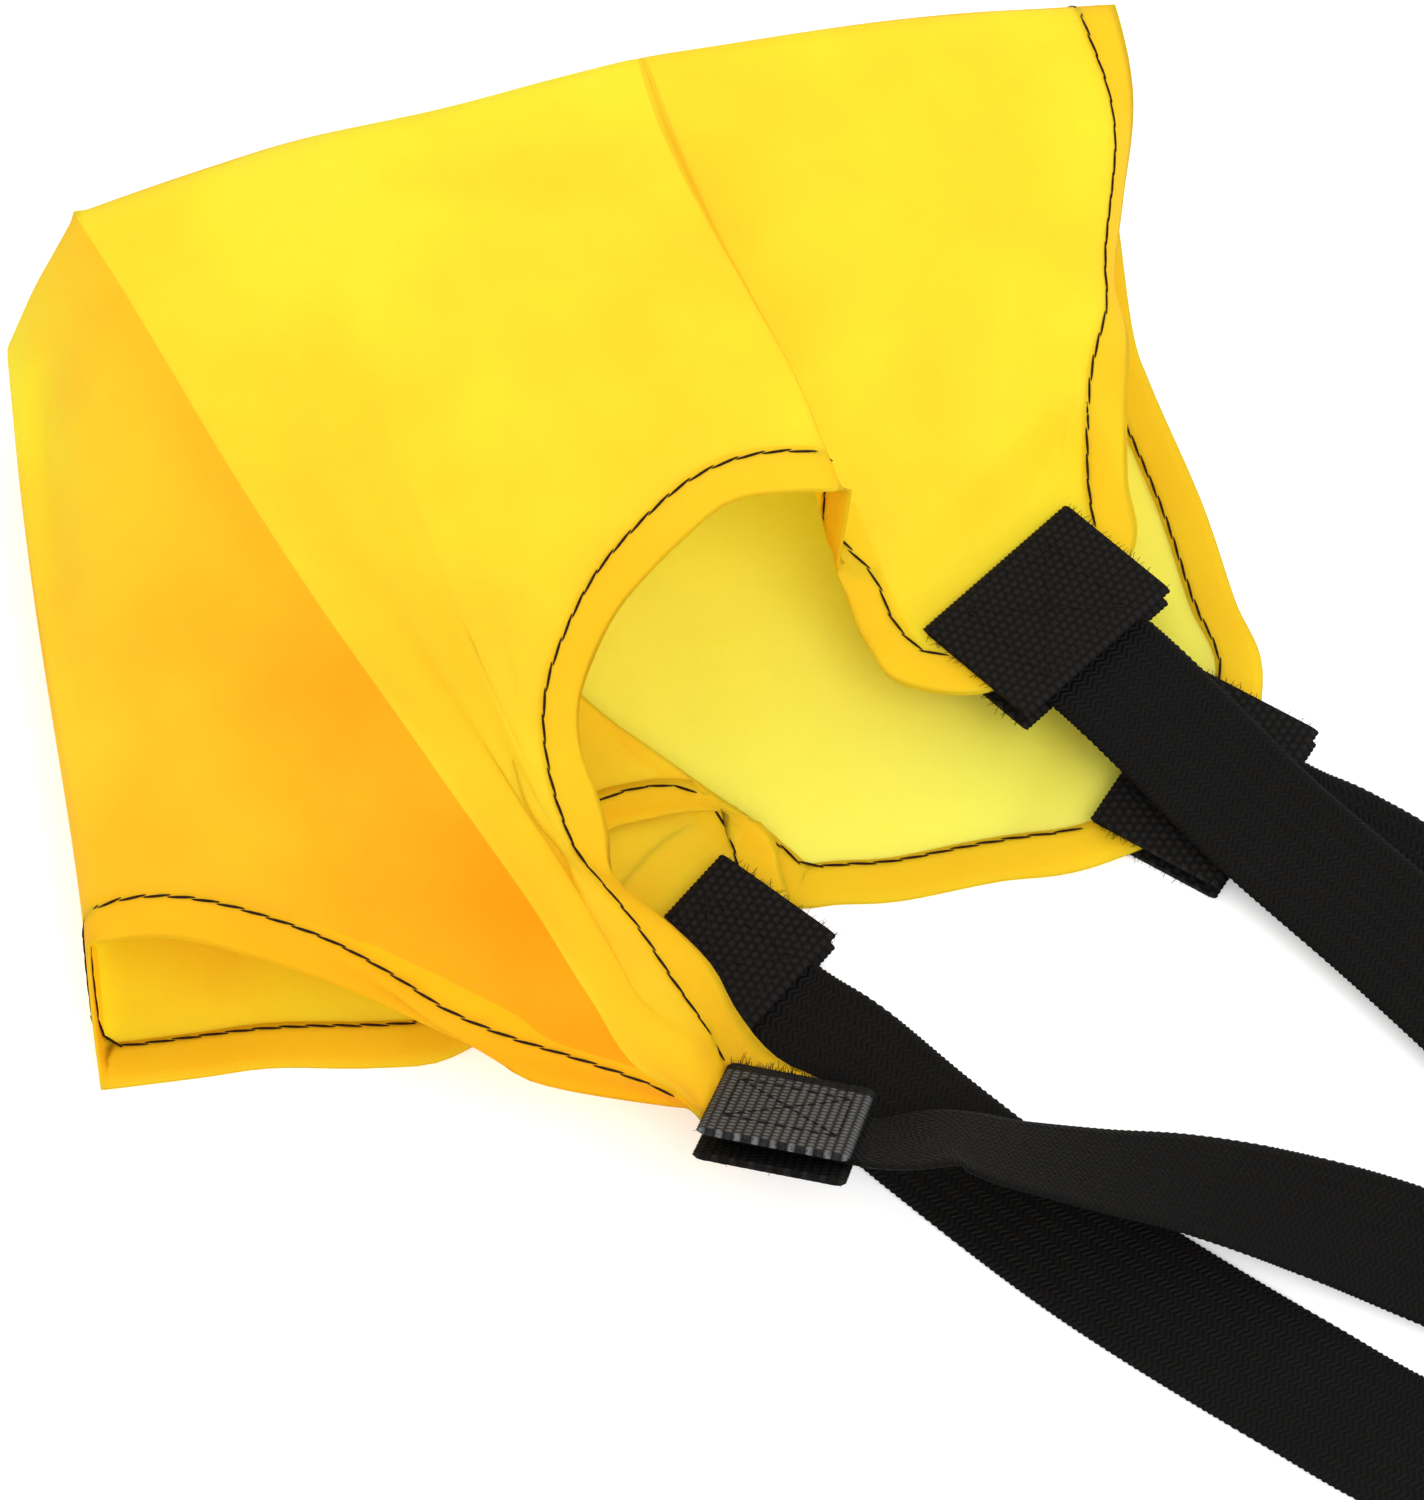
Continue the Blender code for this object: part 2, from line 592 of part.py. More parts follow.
def block(name, low, high, mat, round_edges=0.0):
    bm = bmesh.new()
    bmesh.ops.create_cube(bm, size=1)
    for v in bm.verts:
        for axis in range(3):
            v.co[axis] = low[axis] if v.co[axis] < 0 else high[axis]
    if round_edges > 0:
        upright = [e for e in bm.edges if abs(e.verts[0].co.z - e.verts[1].co.z) > MM * 0.1]
        bmesh.ops.bevel(
            bm, geom=upright, offset=round_edges, segments=3, profile=0.5, affect="EDGES", material=-1
        )
    return add_object(name, bm, mat)


def cut(ob, cutter):
    cutter.hide_render = True
    cutter.display_type = "WIRE"
    modifier = ob.modifiers.new("cut", "BOOLEAN")
    modifier.operation = "DIFFERENCE"
    modifier.object = cutter
    modifier.solver = "EXACT"


def join(ob, other):
    other.hide_render = True
    other.display_type = "WIRE"
    modifier = ob.modifiers.new("join", "BOOLEAN")
    modifier.operation = "UNION"
    modifier.object = other
    modifier.solver = "EXACT"


def bar(name, y, half_length, mat):
    bm = bmesh.new()
    turned = Matrix.Translation((BELT_X, y, BUCKLE_HEIGHT / 2)) @ Matrix.Rotation(math.pi / 2, 4, "Y")
    bmesh.ops.create_cone(
        bm, cap_ends=True, segments=16, radius1=BAR_RADIUS, radius2=BAR_RADIUS,
        depth=2 * half_length, matrix=turned,
    )
    return add_object(name, bm, mat)


def make_socket(mat):
    """The half that takes the prongs: hollow, with a mouth, side windows and a webbing bar."""
    half = BUCKLE_WIDTH / 2
    bar_y = SOCKET_BAR_Y
    front = bar_y - BAR_RADIUS - SLOT_LENGTH - SOCKET_LENGTH
    back = bar_y + BAR_RADIUS
    reach = MM
    low = (BELT_X - half, front, 0)
    high = (BELT_X + half, back, BUCKLE_HEIGHT)
    socket = block("buckle_socket", low, high, mat, round_edges=CORNER_ROUND * 2)
    slot_half = STRAP_WIDTH / 2 + FIT
    body_back = bar_y - BAR_RADIUS - SLOT_LENGTH
    slot = block(
        "socket_slot",
        (BELT_X - slot_half, body_back, -reach),
        (BELT_X + slot_half, back + reach, BUCKLE_HEIGHT + reach),
        mat,
    )
    cut(socket, slot)
    hollow = block(
        "socket_hollow",
        (BELT_X - half + BUCKLE_WALL, front - reach, BUCKLE_WALL),
        (BELT_X + half - BUCKLE_WALL, body_back - BUCKLE_WALL * 2, BUCKLE_HEIGHT - BUCKLE_WALL),
        mat,
    )
    cut(socket, hollow)
    windows = block(
        "socket_windows",
        (BELT_X - half - reach, front + WINDOW_START, BUCKLE_WALL),
        (BELT_X + half + reach, front + WINDOW_START + WINDOW_LENGTH, BUCKLE_HEIGHT - BUCKLE_WALL),
        mat,
    )
    cut(socket, windows)
    join(socket, bar("socket_bar", bar_y, half - ARM_WIDTH / 2, mat))


def make_plug(mat):
    """The half with the prongs: a webbing bar, a block, a middle guide and two spring latches."""
    half = BUCKLE_WIDTH / 2
    bar_y = PLUG_BAR_Y
    back = bar_y - BAR_RADIUS
    body_back = bar_y + BAR_RADIUS + SLOT_LENGTH
    reach = MM
    low = (BELT_X - half, back, 0)
    high = (BELT_X + half, PLUG_FRONT, BUCKLE_HEIGHT)
    plug = block("buckle_plug", low, high, mat, round_edges=CORNER_ROUND * 2)
    slot_half = STRAP_WIDTH / 2 + FIT
    slot = block(
        "plug_slot",
        (BELT_X - slot_half, back - reach, -reach),
        (BELT_X + slot_half, body_back, BUCKLE_HEIGHT + reach),
        mat,
    )
    cut(plug, slot)
    join(plug, bar("plug_bar", bar_y, half - ARM_WIDTH / 2, mat))
    middle = BUCKLE_HEIGHT / 2
    guide = block(
        "plug_guide",
        (BELT_X - GUIDE_WIDTH / 2, PLUG_FRONT - reach, middle - PRONG_HEIGHT / 2),
        (BELT_X + GUIDE_WIDTH / 2, PLUG_FRONT + PRONG_LENGTH * 0.8, middle + PRONG_HEIGHT / 2),
        mat,
    )
    join(plug, guide)
    for name, side in (("buckle_latch_left", -1), ("buckle_latch_right", 1)):
        make_latch(name, side, mat)


def make_latch(name, side, mat):
    """A springy prong with a round root, a straight arm and a barb on its outer side."""
    root_x = BELT_X + side * LATCH_X
    root_y = PLUG_FRONT + LAYER_GAP + PRONG_WIDTH / 2
    r = PRONG_WIDTH / 2
    outline = [(r * math.cos(a), r * math.sin(a)) for a in
               (math.pi + math.pi * k / 8 for k in range(9))]
    barb_start = PRONG_LENGTH - BARB_LENGTH
    outline += [
        (r, barb_start),
        (r + BARB_WIDTH, barb_start + MM * 0.8),
        (r + BARB_WIDTH, barb_start + BARB_LENGTH * 0.45),
        (r, PRONG_LENGTH),
        (-r * 0.4, PRONG_LENGTH),
        (-r, PRONG_LENGTH - r * 0.6),
    ]
    bm = bmesh.new()
    bottom = BUCKLE_HEIGHT / 2 - PRONG_HEIGHT / 2
    verts = [bm.verts.new((root_x + side * x, root_y + y, bottom)) for x, y in outline]
    face = bm.faces.new(verts)
    raised = bmesh.ops.extrude_face_region(bm, geom=[face])
    lifted = [g for g in raised["geom"] if isinstance(g, bmesh.types.BMVert)]
    bmesh.ops.translate(bm, verts=lifted, vec=(0, 0, PRONG_HEIGHT))
    for v in bm.verts:
        v.co -= Vector((root_x, root_y, 0))
    ob = add_object(name, bm, mat)
    ob.location = (root_x, root_y, 0)


def main():
    clear_scene()
    yellow = material("coated_cloth", (1.0, 0.72, 0.03), 0.55)
    black = material("webbing", (0.010, 0.009, 0.009), 0.8)
    make_canopy(yellow)
    make_patches(black)
    make_riser("a", CORNER_A, ROUTE_A, 3, black)
    make_riser("b", CORNER_B, ROUTE_B, 2, black)
    make_riser("c", CORNER_C, ROUTE_C, 0, black)
    make_riser("d", CORNER_D, ROUTE_D, 1, black)
    make_tow_strap(black)
    make_belt(black)
    elastic = material("elastic", (0.012, 0.011, 0.011), 0.75)
    plastic = material("buckle_plastic", (0.012, 0.012, 0.013), 0.38)
    make_ties_and_keeper(elastic, plastic)
    make_socket(plastic)
    make_plug(plastic)


main()
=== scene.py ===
# Swim parachute, looks: draped nylon canopy, sewn corner patches, webbing, hanks and buckle
import math
import random
import bpy
import bmesh
from mathutils import Matrix, Vector, noise
from mathutils.bvhtree import BVHTree
from mathutils.kdtree import KDTree


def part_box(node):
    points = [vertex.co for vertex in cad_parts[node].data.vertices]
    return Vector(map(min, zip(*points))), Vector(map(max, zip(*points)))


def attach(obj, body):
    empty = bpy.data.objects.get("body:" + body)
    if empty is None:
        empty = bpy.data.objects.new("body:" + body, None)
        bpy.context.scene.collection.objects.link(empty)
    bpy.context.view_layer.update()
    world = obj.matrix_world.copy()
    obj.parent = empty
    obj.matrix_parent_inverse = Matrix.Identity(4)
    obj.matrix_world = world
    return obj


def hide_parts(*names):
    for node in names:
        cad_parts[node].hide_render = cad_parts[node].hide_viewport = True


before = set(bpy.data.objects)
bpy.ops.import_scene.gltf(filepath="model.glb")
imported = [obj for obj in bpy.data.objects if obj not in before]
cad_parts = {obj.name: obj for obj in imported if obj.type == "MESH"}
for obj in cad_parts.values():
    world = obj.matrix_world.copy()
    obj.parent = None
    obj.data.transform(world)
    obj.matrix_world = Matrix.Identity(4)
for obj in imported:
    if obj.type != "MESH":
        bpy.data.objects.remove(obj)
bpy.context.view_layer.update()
mm = 0.001
up = Vector((0, 0, 1))
print("stage: frame loaded")

# Node helpers
def addNode(tree, kind, inputs, **settings):
    # settings first; then a number or colour is set on its own socket, and an output is linked to it
    node = tree.nodes.new(kind)
    for name, value in settings.items():
        setattr(node, name, value)
    for name, value in inputs.items():
        if isinstance(value, tuple):
            node.inputs[name].default_value = (*value, 1)
        elif isinstance(value, (int, float)):
            node.inputs[name].default_value = value
        elif value is not None:
            tree.links.new(value, node.inputs[name])
    return node


def nodeMaterial(name, colour, roughness, specular):
    mat = bpy.data.materials.new(name)
    mat.use_nodes = True
    shader = mat.node_tree.nodes["Principled BSDF"]
    shader.inputs["Base Color"].default_value = (*colour, 1)
    shader.inputs["Roughness"].default_value = roughness
    shader.inputs["Specular IOR Level"].default_value = specular
    return mat, mat.node_tree, shader


def mathNode(tree, operation, first, second=None, third=None):
    return addNode(tree, "ShaderNodeMath", {0: first, 1: second, 2: third}, operation=operation).outputs[0]


def blendColours(tree, share, low, high):
    mix = addNode(tree, "ShaderNodeMix", {"Factor": share, "A": low, "B": high},
                  data_type="RGBA", clamp_factor=True)
    return mix.outputs["Result"]


def noiseAt(tree, vector, scale, detail):
    inputs = {"Scale": scale, "Detail": detail, "Vector": vector}
    return addNode(tree, "ShaderNodeTexNoise", inputs).outputs["Fac"]


def bumpFrom(tree, height, distance, strength, shader):
    bump = addNode(tree, "ShaderNodeBump", {"Distance": distance, "Strength": strength, "Height": height})
    tree.links.new(bump.outputs["Normal"], shader.inputs["Normal"])
    return bump.outputs["Normal"]


def joinShaders(tree, kind, first, second, surface, share=None):
    # the two shaders are mixed or added, and the result goes to the surface
    node = addNode(tree, kind, {0: share, -2: first.outputs[0], -1: second.outputs[0]})
    tree.links.new(node.outputs[0], tree.nodes[surface].inputs["Surface"])


def placeParts(tree, source):
    # the object coordinates, and the source's own x, y and z
    place = tree.nodes.new("ShaderNodeTexCoord")
    parts = addNode(tree, "ShaderNodeSeparateXYZ", {0: place.outputs[source]})
    return place.outputs["Object"], parts.outputs


def spreadOut(tree, value, low, high):
    # the middle of a noise, drawn out to the range from low to high
    inputs = {"Value": value, "From Min": 0.3, "From Max": 0.7, "To Min": low, "To Max": high}
    return addNode(tree, "ShaderNodeMapRange", inputs).outputs["Result"]


def attributeValue(tree, name):
    return addNode(tree, "ShaderNodeAttribute", {}, attribute_name=name).outputs["Fac"]


def waveOf(tree, value, turns):
    return mathNode(tree, "SINE", mathNode(tree, "MULTIPLY", value, turns))


def addObject(name, data):
    made = bpy.data.objects.new(name, data)
    bpy.context.scene.collection.objects.link(made)
    return made


def meshObject(name, bm, mat):
    mesh = bpy.data.meshes.new(name)
    bm.to_mesh(mesh)
    bm.free()
    mesh.materials.append(mat)
    return addObject(name, mesh)


# Camera, floor and light
studio = {
    "target": (0, 0.046, 0),
    "elevation": 60,
    "distance": 0.9,
    "pixelsPerMetre": 5650,
    "frameHeight": 1500,
    "worldLevel": 1.05,
    "lampLevel": 1.5,
    "lampAngle": 40,
    "lampTilt": (34, 20),
    "floorColour": (0.93, 0.93, 0.93),
    "floorGlow": 0.22,
    "floorSize": 6,
    "floorDepth": 0.2 * mm,
}


def buildStudio():
    scene = bpy.context.scene
    scene.view_settings.view_transform = "Standard"
    lift = math.radians(studio["elevation"])
    forward = Vector((0, math.cos(lift), -math.sin(lift)))
    lens = bpy.data.cameras.new("photoCamera")
    lens.sensor_fit = "VERTICAL"
    lens.sensor_height = 36
    lens.lens = 36 * studio["distance"] * studio["pixelsPerMetre"] / studio["frameHeight"]
    lens.clip_start = 0.01
    camera = addObject("photoCamera", lens)
    camera.location = Vector(studio["target"]) - forward * studio["distance"]
    camera.rotation_euler = (math.pi / 2 - lift, 0, 0)
    scene.camera = camera

    lamp = bpy.data.lights.new("softLamp", "SUN")
    lamp.energy = studio["lampLevel"]
    lamp.angle = math.radians(studio["lampAngle"])
    tiltBack, tiltSide = studio["lampTilt"]
    addObject("softLamp", lamp).rotation_euler = (math.radians(tiltBack), math.radians(tiltSide), 0)

    world = bpy.data.worlds.new("whiteRoom")
    scene.world = world
    world.use_nodes = True
    tree = world.node_tree
    room = tree.nodes["Background"]
    room.inputs["Color"].default_value = (1, 1, 1, 1)
    room.inputs["Strength"].default_value = studio["worldLevel"]
    seen = addNode(tree, "ShaderNodeBackground", {"Strength": 1.0, "Color": (1, 1, 1)})
    rays = tree.nodes.new("ShaderNodeLightPath").outputs
    straight = mathNode(tree, "MAXIMUM", rays["Is Camera Ray"], rays["Is Glossy Ray"])
    mirrored = mathNode(tree, "MAXIMUM", straight, rays["Is Transmission Ray"])
    joinShaders(tree, "ShaderNodeMixShader", room, seen, "World Output", mirrored)

    bm = bmesh.new()
    bmesh.ops.create_grid(bm, x_segments=2, y_segments=2, size=studio["floorSize"])
    bmesh.ops.translate(bm, verts=bm.verts, vec=(0, 0, -studio["floorDepth"]))
    mat, tree, shader = nodeMaterial("paleFloor", studio["floorColour"], 1.0, 0.0)
    rays = tree.nodes.new("ShaderNodeLightPath").outputs
    share = mathNode(tree, "MULTIPLY", rays["Is Camera Ray"], studio["floorGlow"])
    glow = addNode(tree, "ShaderNodeEmission", {"Color": (1, 1, 1), "Strength": share})
    joinShaders(tree, "ShaderNodeAddShader", shader, glow, "Material Output")
    floor = meshObject("studioFloor", bm, mat)


buildStudio()
print("stage: studio")

# Finishes
# nylon colours: deep orange painted shade for the shaded panels, pale painted light for the rear panel on
# the floor, and painted shade for the doubled hem
nylon = {
    "plain": (1.0, 0.96, 0.06),
    "paintedShade": (1.0, 0.49, 0.0),
    "paintedLight": (1.0, 0.98, 0.27),
    "hem": (1.0, 0.76, 0.006),
    "hemWidth": 8.2 * mm,
    "hemShadeShare": 0.5,
    "throughShare": 0.6,
    "roughness": 0.6,
    "specular": 0.2,
    "threadPitch": 0.32 * mm,
    "threadHeight": 0.06,
    "crinkleHeight": 0.35 * mm,
}


def clothFinish(name):
    # coated nylon: light comes through it, and the weave is very fine; its colour carries painted shade,
    # deeper orange on the shaded panels and on the doubled hem, and painted light, paler yellow on the rear
    # panel where it lies on the floor
    mat, tree, shader = nodeMaterial(name, nylon["plain"], nylon["roughness"], nylon["specular"])
    spot, parts = placeParts(tree, "UV")
    # painted shade and painted light from the panel attribute, with a random mottle added; above 0 it turns
    # the yellow orange, below 0 it pales it
    patchy = spreadOut(tree, noiseAt(tree, spot, 28, 3), -0.1, 0.12)
    paintedShadeAndLight = mathNode(tree, "ADD", attributeValue(tree, "paintedShadeAndLight"), patchy)
    tint = blendColours(tree, paintedShadeAndLight, nylon["plain"], nylon["paintedShade"])
    paintedLightShare = mathNode(tree, "MULTIPLY", paintedShadeAndLight, -1.0)
    tint = blendColours(tree, paintedLightShare, tint, nylon["paintedLight"])
    # painted shade on the doubled hem, within hemWidth of the free edge
    hemShadeMask = mathNode(tree, "LESS_THAN", attributeValue(tree, "hemDistance"), nylon["hemWidth"])
    hemShadeMask = mathNode(tree, "MULTIPLY", hemShadeMask, nylon["hemShadeShare"])
    tint = blendColours(tree, hemShadeMask, tint, nylon["hem"])
    tree.links.new(tint, shader.inputs["Base Color"])
    turns = 2 * math.pi / nylon["threadPitch"]
    weave = mathNode(tree, "MULTIPLY", waveOf(tree, parts[0], turns), waveOf(tree, parts[1], turns))
    crinkle = noiseAt(tree, spot, 160, 4)
    raised = mathNode(tree, "MULTIPLY", weave, nylon["threadHeight"])
    height = mathNode(tree, "ADD", raised, crinkle)
    normal = bumpFrom(tree, height, nylon["crinkleHeight"], 0.5, shader)
    through = addNode(tree, "ShaderNodeBsdfTranslucent", {"Color": tint, "Normal": normal})
    joinShaders(tree, "ShaderNodeMixShader", shader, through, "Material Output", nylon["throughShare"])
    return mat


webbing = {
    "yarn": (0.0050, 0.0042, 0.0036),
    "gap": (0.0018, 0.0015, 0.0013),
    "roughness": 0.78,
    "specular": 0.13,
    "wale": 1.47 * mm,
    "pick": 1.1 * mm,
    "slant": 0.9,
    "ridgeHeight": 0.22 * mm,
    "grainWidth": 1.5 * mm,
    "grainLength": 1.7 * mm,
    "grainHeight": 0.4 * mm,
    "patchYarn": (0.0115, 0.0098, 0.0088),
    "patchGap": (0.0013, 0.0011, 0.0010),
    # patch D's outer patch: pale grey yarn as a painted sheen, as if it caught the light at a grazing angle;
    # its first end stays black without it
    "sheenYarn": (0.13, 0.13, 0.132),
    "sheenGap": (0.005, 0.005, 0.005),
    "sheenFreeEnd": 4.6 * mm,
}


def webbingFinish(name, yarn, gap, pick):
    # herringbone: slanting picks that change direction at each wale, by the strap's own UV map
    mat, tree, shader = nodeMaterial(name, yarn, webbing["roughness"], webbing["specular"])
    spot, parts = placeParts(tree, "UV")
    wales = mathNode(tree, "DIVIDE", parts[0], webbing["wale"])
    turned = mathNode(tree, "PINGPONG", wales, 1.0)
    picks = mathNode(tree, "DIVIDE", parts[1], pick)
    phase = mathNode(tree, "ADD", picks, mathNode(tree, "MULTIPLY", turned, webbing["slant"]))
    ridge = waveOf(tree, phase, 2 * math.pi)
    fuzz = noiseAt(tree, spot, 2600, 2)
    height = mathNode(tree, "ADD", ridge, mathNode(tree, "MULTIPLY", fuzz, 0.9))
    level = mathNode(tree, "MULTIPLY_ADD", ridge, 0.5, 0.5)
    worn = noiseAt(tree, spot, 90, 3)
    share = mathNode(tree, "MULTIPLY", level, mathNode(tree, "ADD", worn, 0.4))
    tint = blendColours(tree, share, gap, yarn)
    tree.links.new(tint, shader.inputs["Base Color"])
    bumpFrom(tree, height, webbing["ridgeHeight"], 0.8, shader)
    return mat


def riceFinish(name, yarn, gap, darkEnd=0.0):
    # coarse basket weave of the patches: staggered grains, one per wale; the first darkEnd metres stay
    # black, so a painted sheen given as the yarn colour stops short of that end
    mat, tree, shader = nodeMaterial(name, yarn, webbing["roughness"], webbing["specular"])
    spot, parts = placeParts(tree, "UV")
    wales = mathNode(tree, "DIVIDE", parts[0], webbing["grainWidth"])
    stagger = mathNode(tree, "MULTIPLY", mathNode(tree, "FLOOR", wales), 0.5)
    picks = mathNode(tree, "DIVIDE", parts[1], webbing["grainLength"])
    picks = mathNode(tree, "ADD", picks, stagger)
    waves = [mathNode(tree, "ABSOLUTE", waveOf(tree, value, math.pi)) for value in (wales, picks)]
    grain = mathNode(tree, "MULTIPLY", *waves)
    fibres = noiseAt(tree, spot, 3000, 3)
    level = mathNode(tree, "MULTIPLY", grain, mathNode(tree, "ADD", fibres, 0.55))
    tint = blendColours(tree, level, gap, yarn)
    if darkEnd:
        ragged = mathNode(tree, "MULTIPLY", noiseAt(tree, spot, 420, 3), 1.6 * mm)
        fromEnd = mathNode(tree, "ADD", parts[1], ragged)
        inEnd = mathNode(tree, "LESS_THAN", fromEnd, darkEnd)
        tint = blendColours(tree, mathNode(tree, "MULTIPLY", inEnd, 0.94), tint, gap)
    tree.links.new(tint, shader.inputs["Base Color"])
    bumpFrom(tree, level, webbing["grainHeight"], 0.8, shader)
    return mat


threads = {
    "seam": (0.030, 0.010, 0.003),
    "black": (0.012, 0.011, 0.010),
    "shade": 0.45,
    "twistHeight": 0.1 * mm,
}


def threadFinish(name, colour):
    mat, tree, shader = nodeMaterial(name, colour, 0.8, 0.1)
    place = tree.nodes.new("ShaderNodeTexCoord")
    twist = noiseAt(tree, place.outputs["Object"], 3200, 2)
    dark = tuple(c * threads["shade"] for c in colour)
    tree.links.new(blendColours(tree, twist, dark, colour), shader.inputs["Base Color"])
    bumpFrom(tree, twist, threads["twistHeight"], 0.6, shader)
    return mat


elastic = {
    "rib": (0.019, 0.018, 0.018),
    "gap": (0.004, 0.004, 0.004),
    "ribPitch": 1.1 * mm,
    "ribHeight": 0.2 * mm,
}


def elasticFinish(name, axis):
    # flat woven elastic: fine ribs along the band, by the frame's own coordinates
    mat, tree, shader = nodeMaterial(name, elastic["rib"], 0.7, 0.3)
    spot, parts = placeParts(tree, "Object")
    ribs = waveOf(tree, parts[axis], 2 * math.pi / elastic["ribPitch"])
    fuzz = noiseAt(tree, spot, 2200, 2)
    height = mathNode(tree, "ADD", ribs, mathNode(tree, "MULTIPLY", fuzz, 0.8))
    tree.links.new(blendColours(tree, ribs, elastic["gap"], elastic["rib"]), shader.inputs["Base Color"])
    bumpFrom(tree, height, elastic["ribHeight"], 0.8, shader)
    return mat


plastic = {
    "colour": (0.008, 0.008, 0.009),
    "roughness": 0.36,
    "polished": 0.34,
    "dull": 0.5,
    "rubbed": 1.7,
    "grainHeight": 0.06 * mm,
}


def plasticFinish(name):
    # moulded acetal: fine spark-eroded grain, a little polish where it is handled
    mat, tree, shader = nodeMaterial(name, plastic["colour"], plastic["roughness"], 0.35)
    place = tree.nodes.new("ShaderNodeTexCoord")
    grain = noiseAt(tree, place.outputs["Object"], 2400, 3)
    rub = noiseAt(tree, place.outputs["Object"], 120, 4)
    tree.links.new(spreadOut(tree, rub, plastic["polished"], plastic["dull"]), shader.inputs["Roughness"])
    pale = tuple(c * plastic["rubbed"] for c in plastic["colour"])
    tree.links.new(blendColours(tree, rub, plastic["colour"], pale), shader.inputs["Base Color"])
    bumpFrom(tree, grain, plastic["grainHeight"], 0.35, shader)
    return mat


clothMat = clothFinish("coatedNylon")
strapMat = webbingFinish("strapWebbing", webbing["yarn"], webbing["gap"], webbing["pick"])
patchMat = riceFinish("patchWebbing", webbing["patchYarn"], webbing["patchGap"])
# a grey painted sheen for the outer patch at corner D
sheenPatchMat = riceFinish("sheenedWebbing", webbing["sheenYarn"], webbing["sheenGap"], webbing["sheenFreeEnd"])
seamMat = threadFinish("seamThread", threads["seam"])
sewingMat = threadFinish("blackThread", threads["black"])
towElasticMat = elasticFinish("ribbedElasticTow", 0)
beltElasticMat = elasticFinish("ribbedElasticBelt", 1)
plasticMat = plasticFinish("mouldedPlastic")
print("stage: finishes")


# Curves
def curvePoint(points, t):
    last = len(points) - 1
    i = min(int(t), last - 1)
    f = t - i
    p1, p2 = points[i], points[i + 1]
    p0 = points[i - 1] if i > 0 else p1 * 2 - p2
    p3 = points[i + 2] if i + 2 <= last else p2 * 2 - p1
    a = (p2 - p0) * 0.5
    b = (p3 - p1) * 0.5
    rise = 3 * f**2 - 2 * f**3
    return p1 * (1 - rise) + p2 * rise + a * (f**3 - 2 * f**2 + f) + b * (f**3 - f**2)


def lengthsAlong(points):
    lengths = [0.0]
    for a, b in zip(points, points[1:]):
        lengths.append(lengths[-1] + (b - a).length)
    return lengths


def evenStops(lengths, count):
    # evenly spaced stops: the stretch that each lies on, and its share of the way along it
    at = 0
    for k in range(count + 1):
        goal = lengths[-1] * k / count
        while at < len(lengths) - 2 and lengths[at + 1] < goal:
            at += 1
        yield at, (goal - lengths[at]) / max(lengths[at + 1] - lengths[at], 1e-9)


def evenly(points, count):
    fineSteps = 24
    fine = [curvePoint(points, k / fineSteps) for k in range((len(points) - 1) * fineSteps + 1)]
    return [fine[at].lerp(fine[at + 1], share) for at, share in evenStops(lengthsAlong(fine), count)]


def nearestTree(points):
    tree = KDTree(len(points))
    for k, point in enumerate(points):
        tree.insert(point, k)
    tree.balance()
    return tree


def finishPiece(name, bm, mat, body, node=None):
    piece = meshObject(name, bm, mat)
    piece.data.shade_smooth()
    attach(piece, body)
    if node:
        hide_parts(node)
    return piece


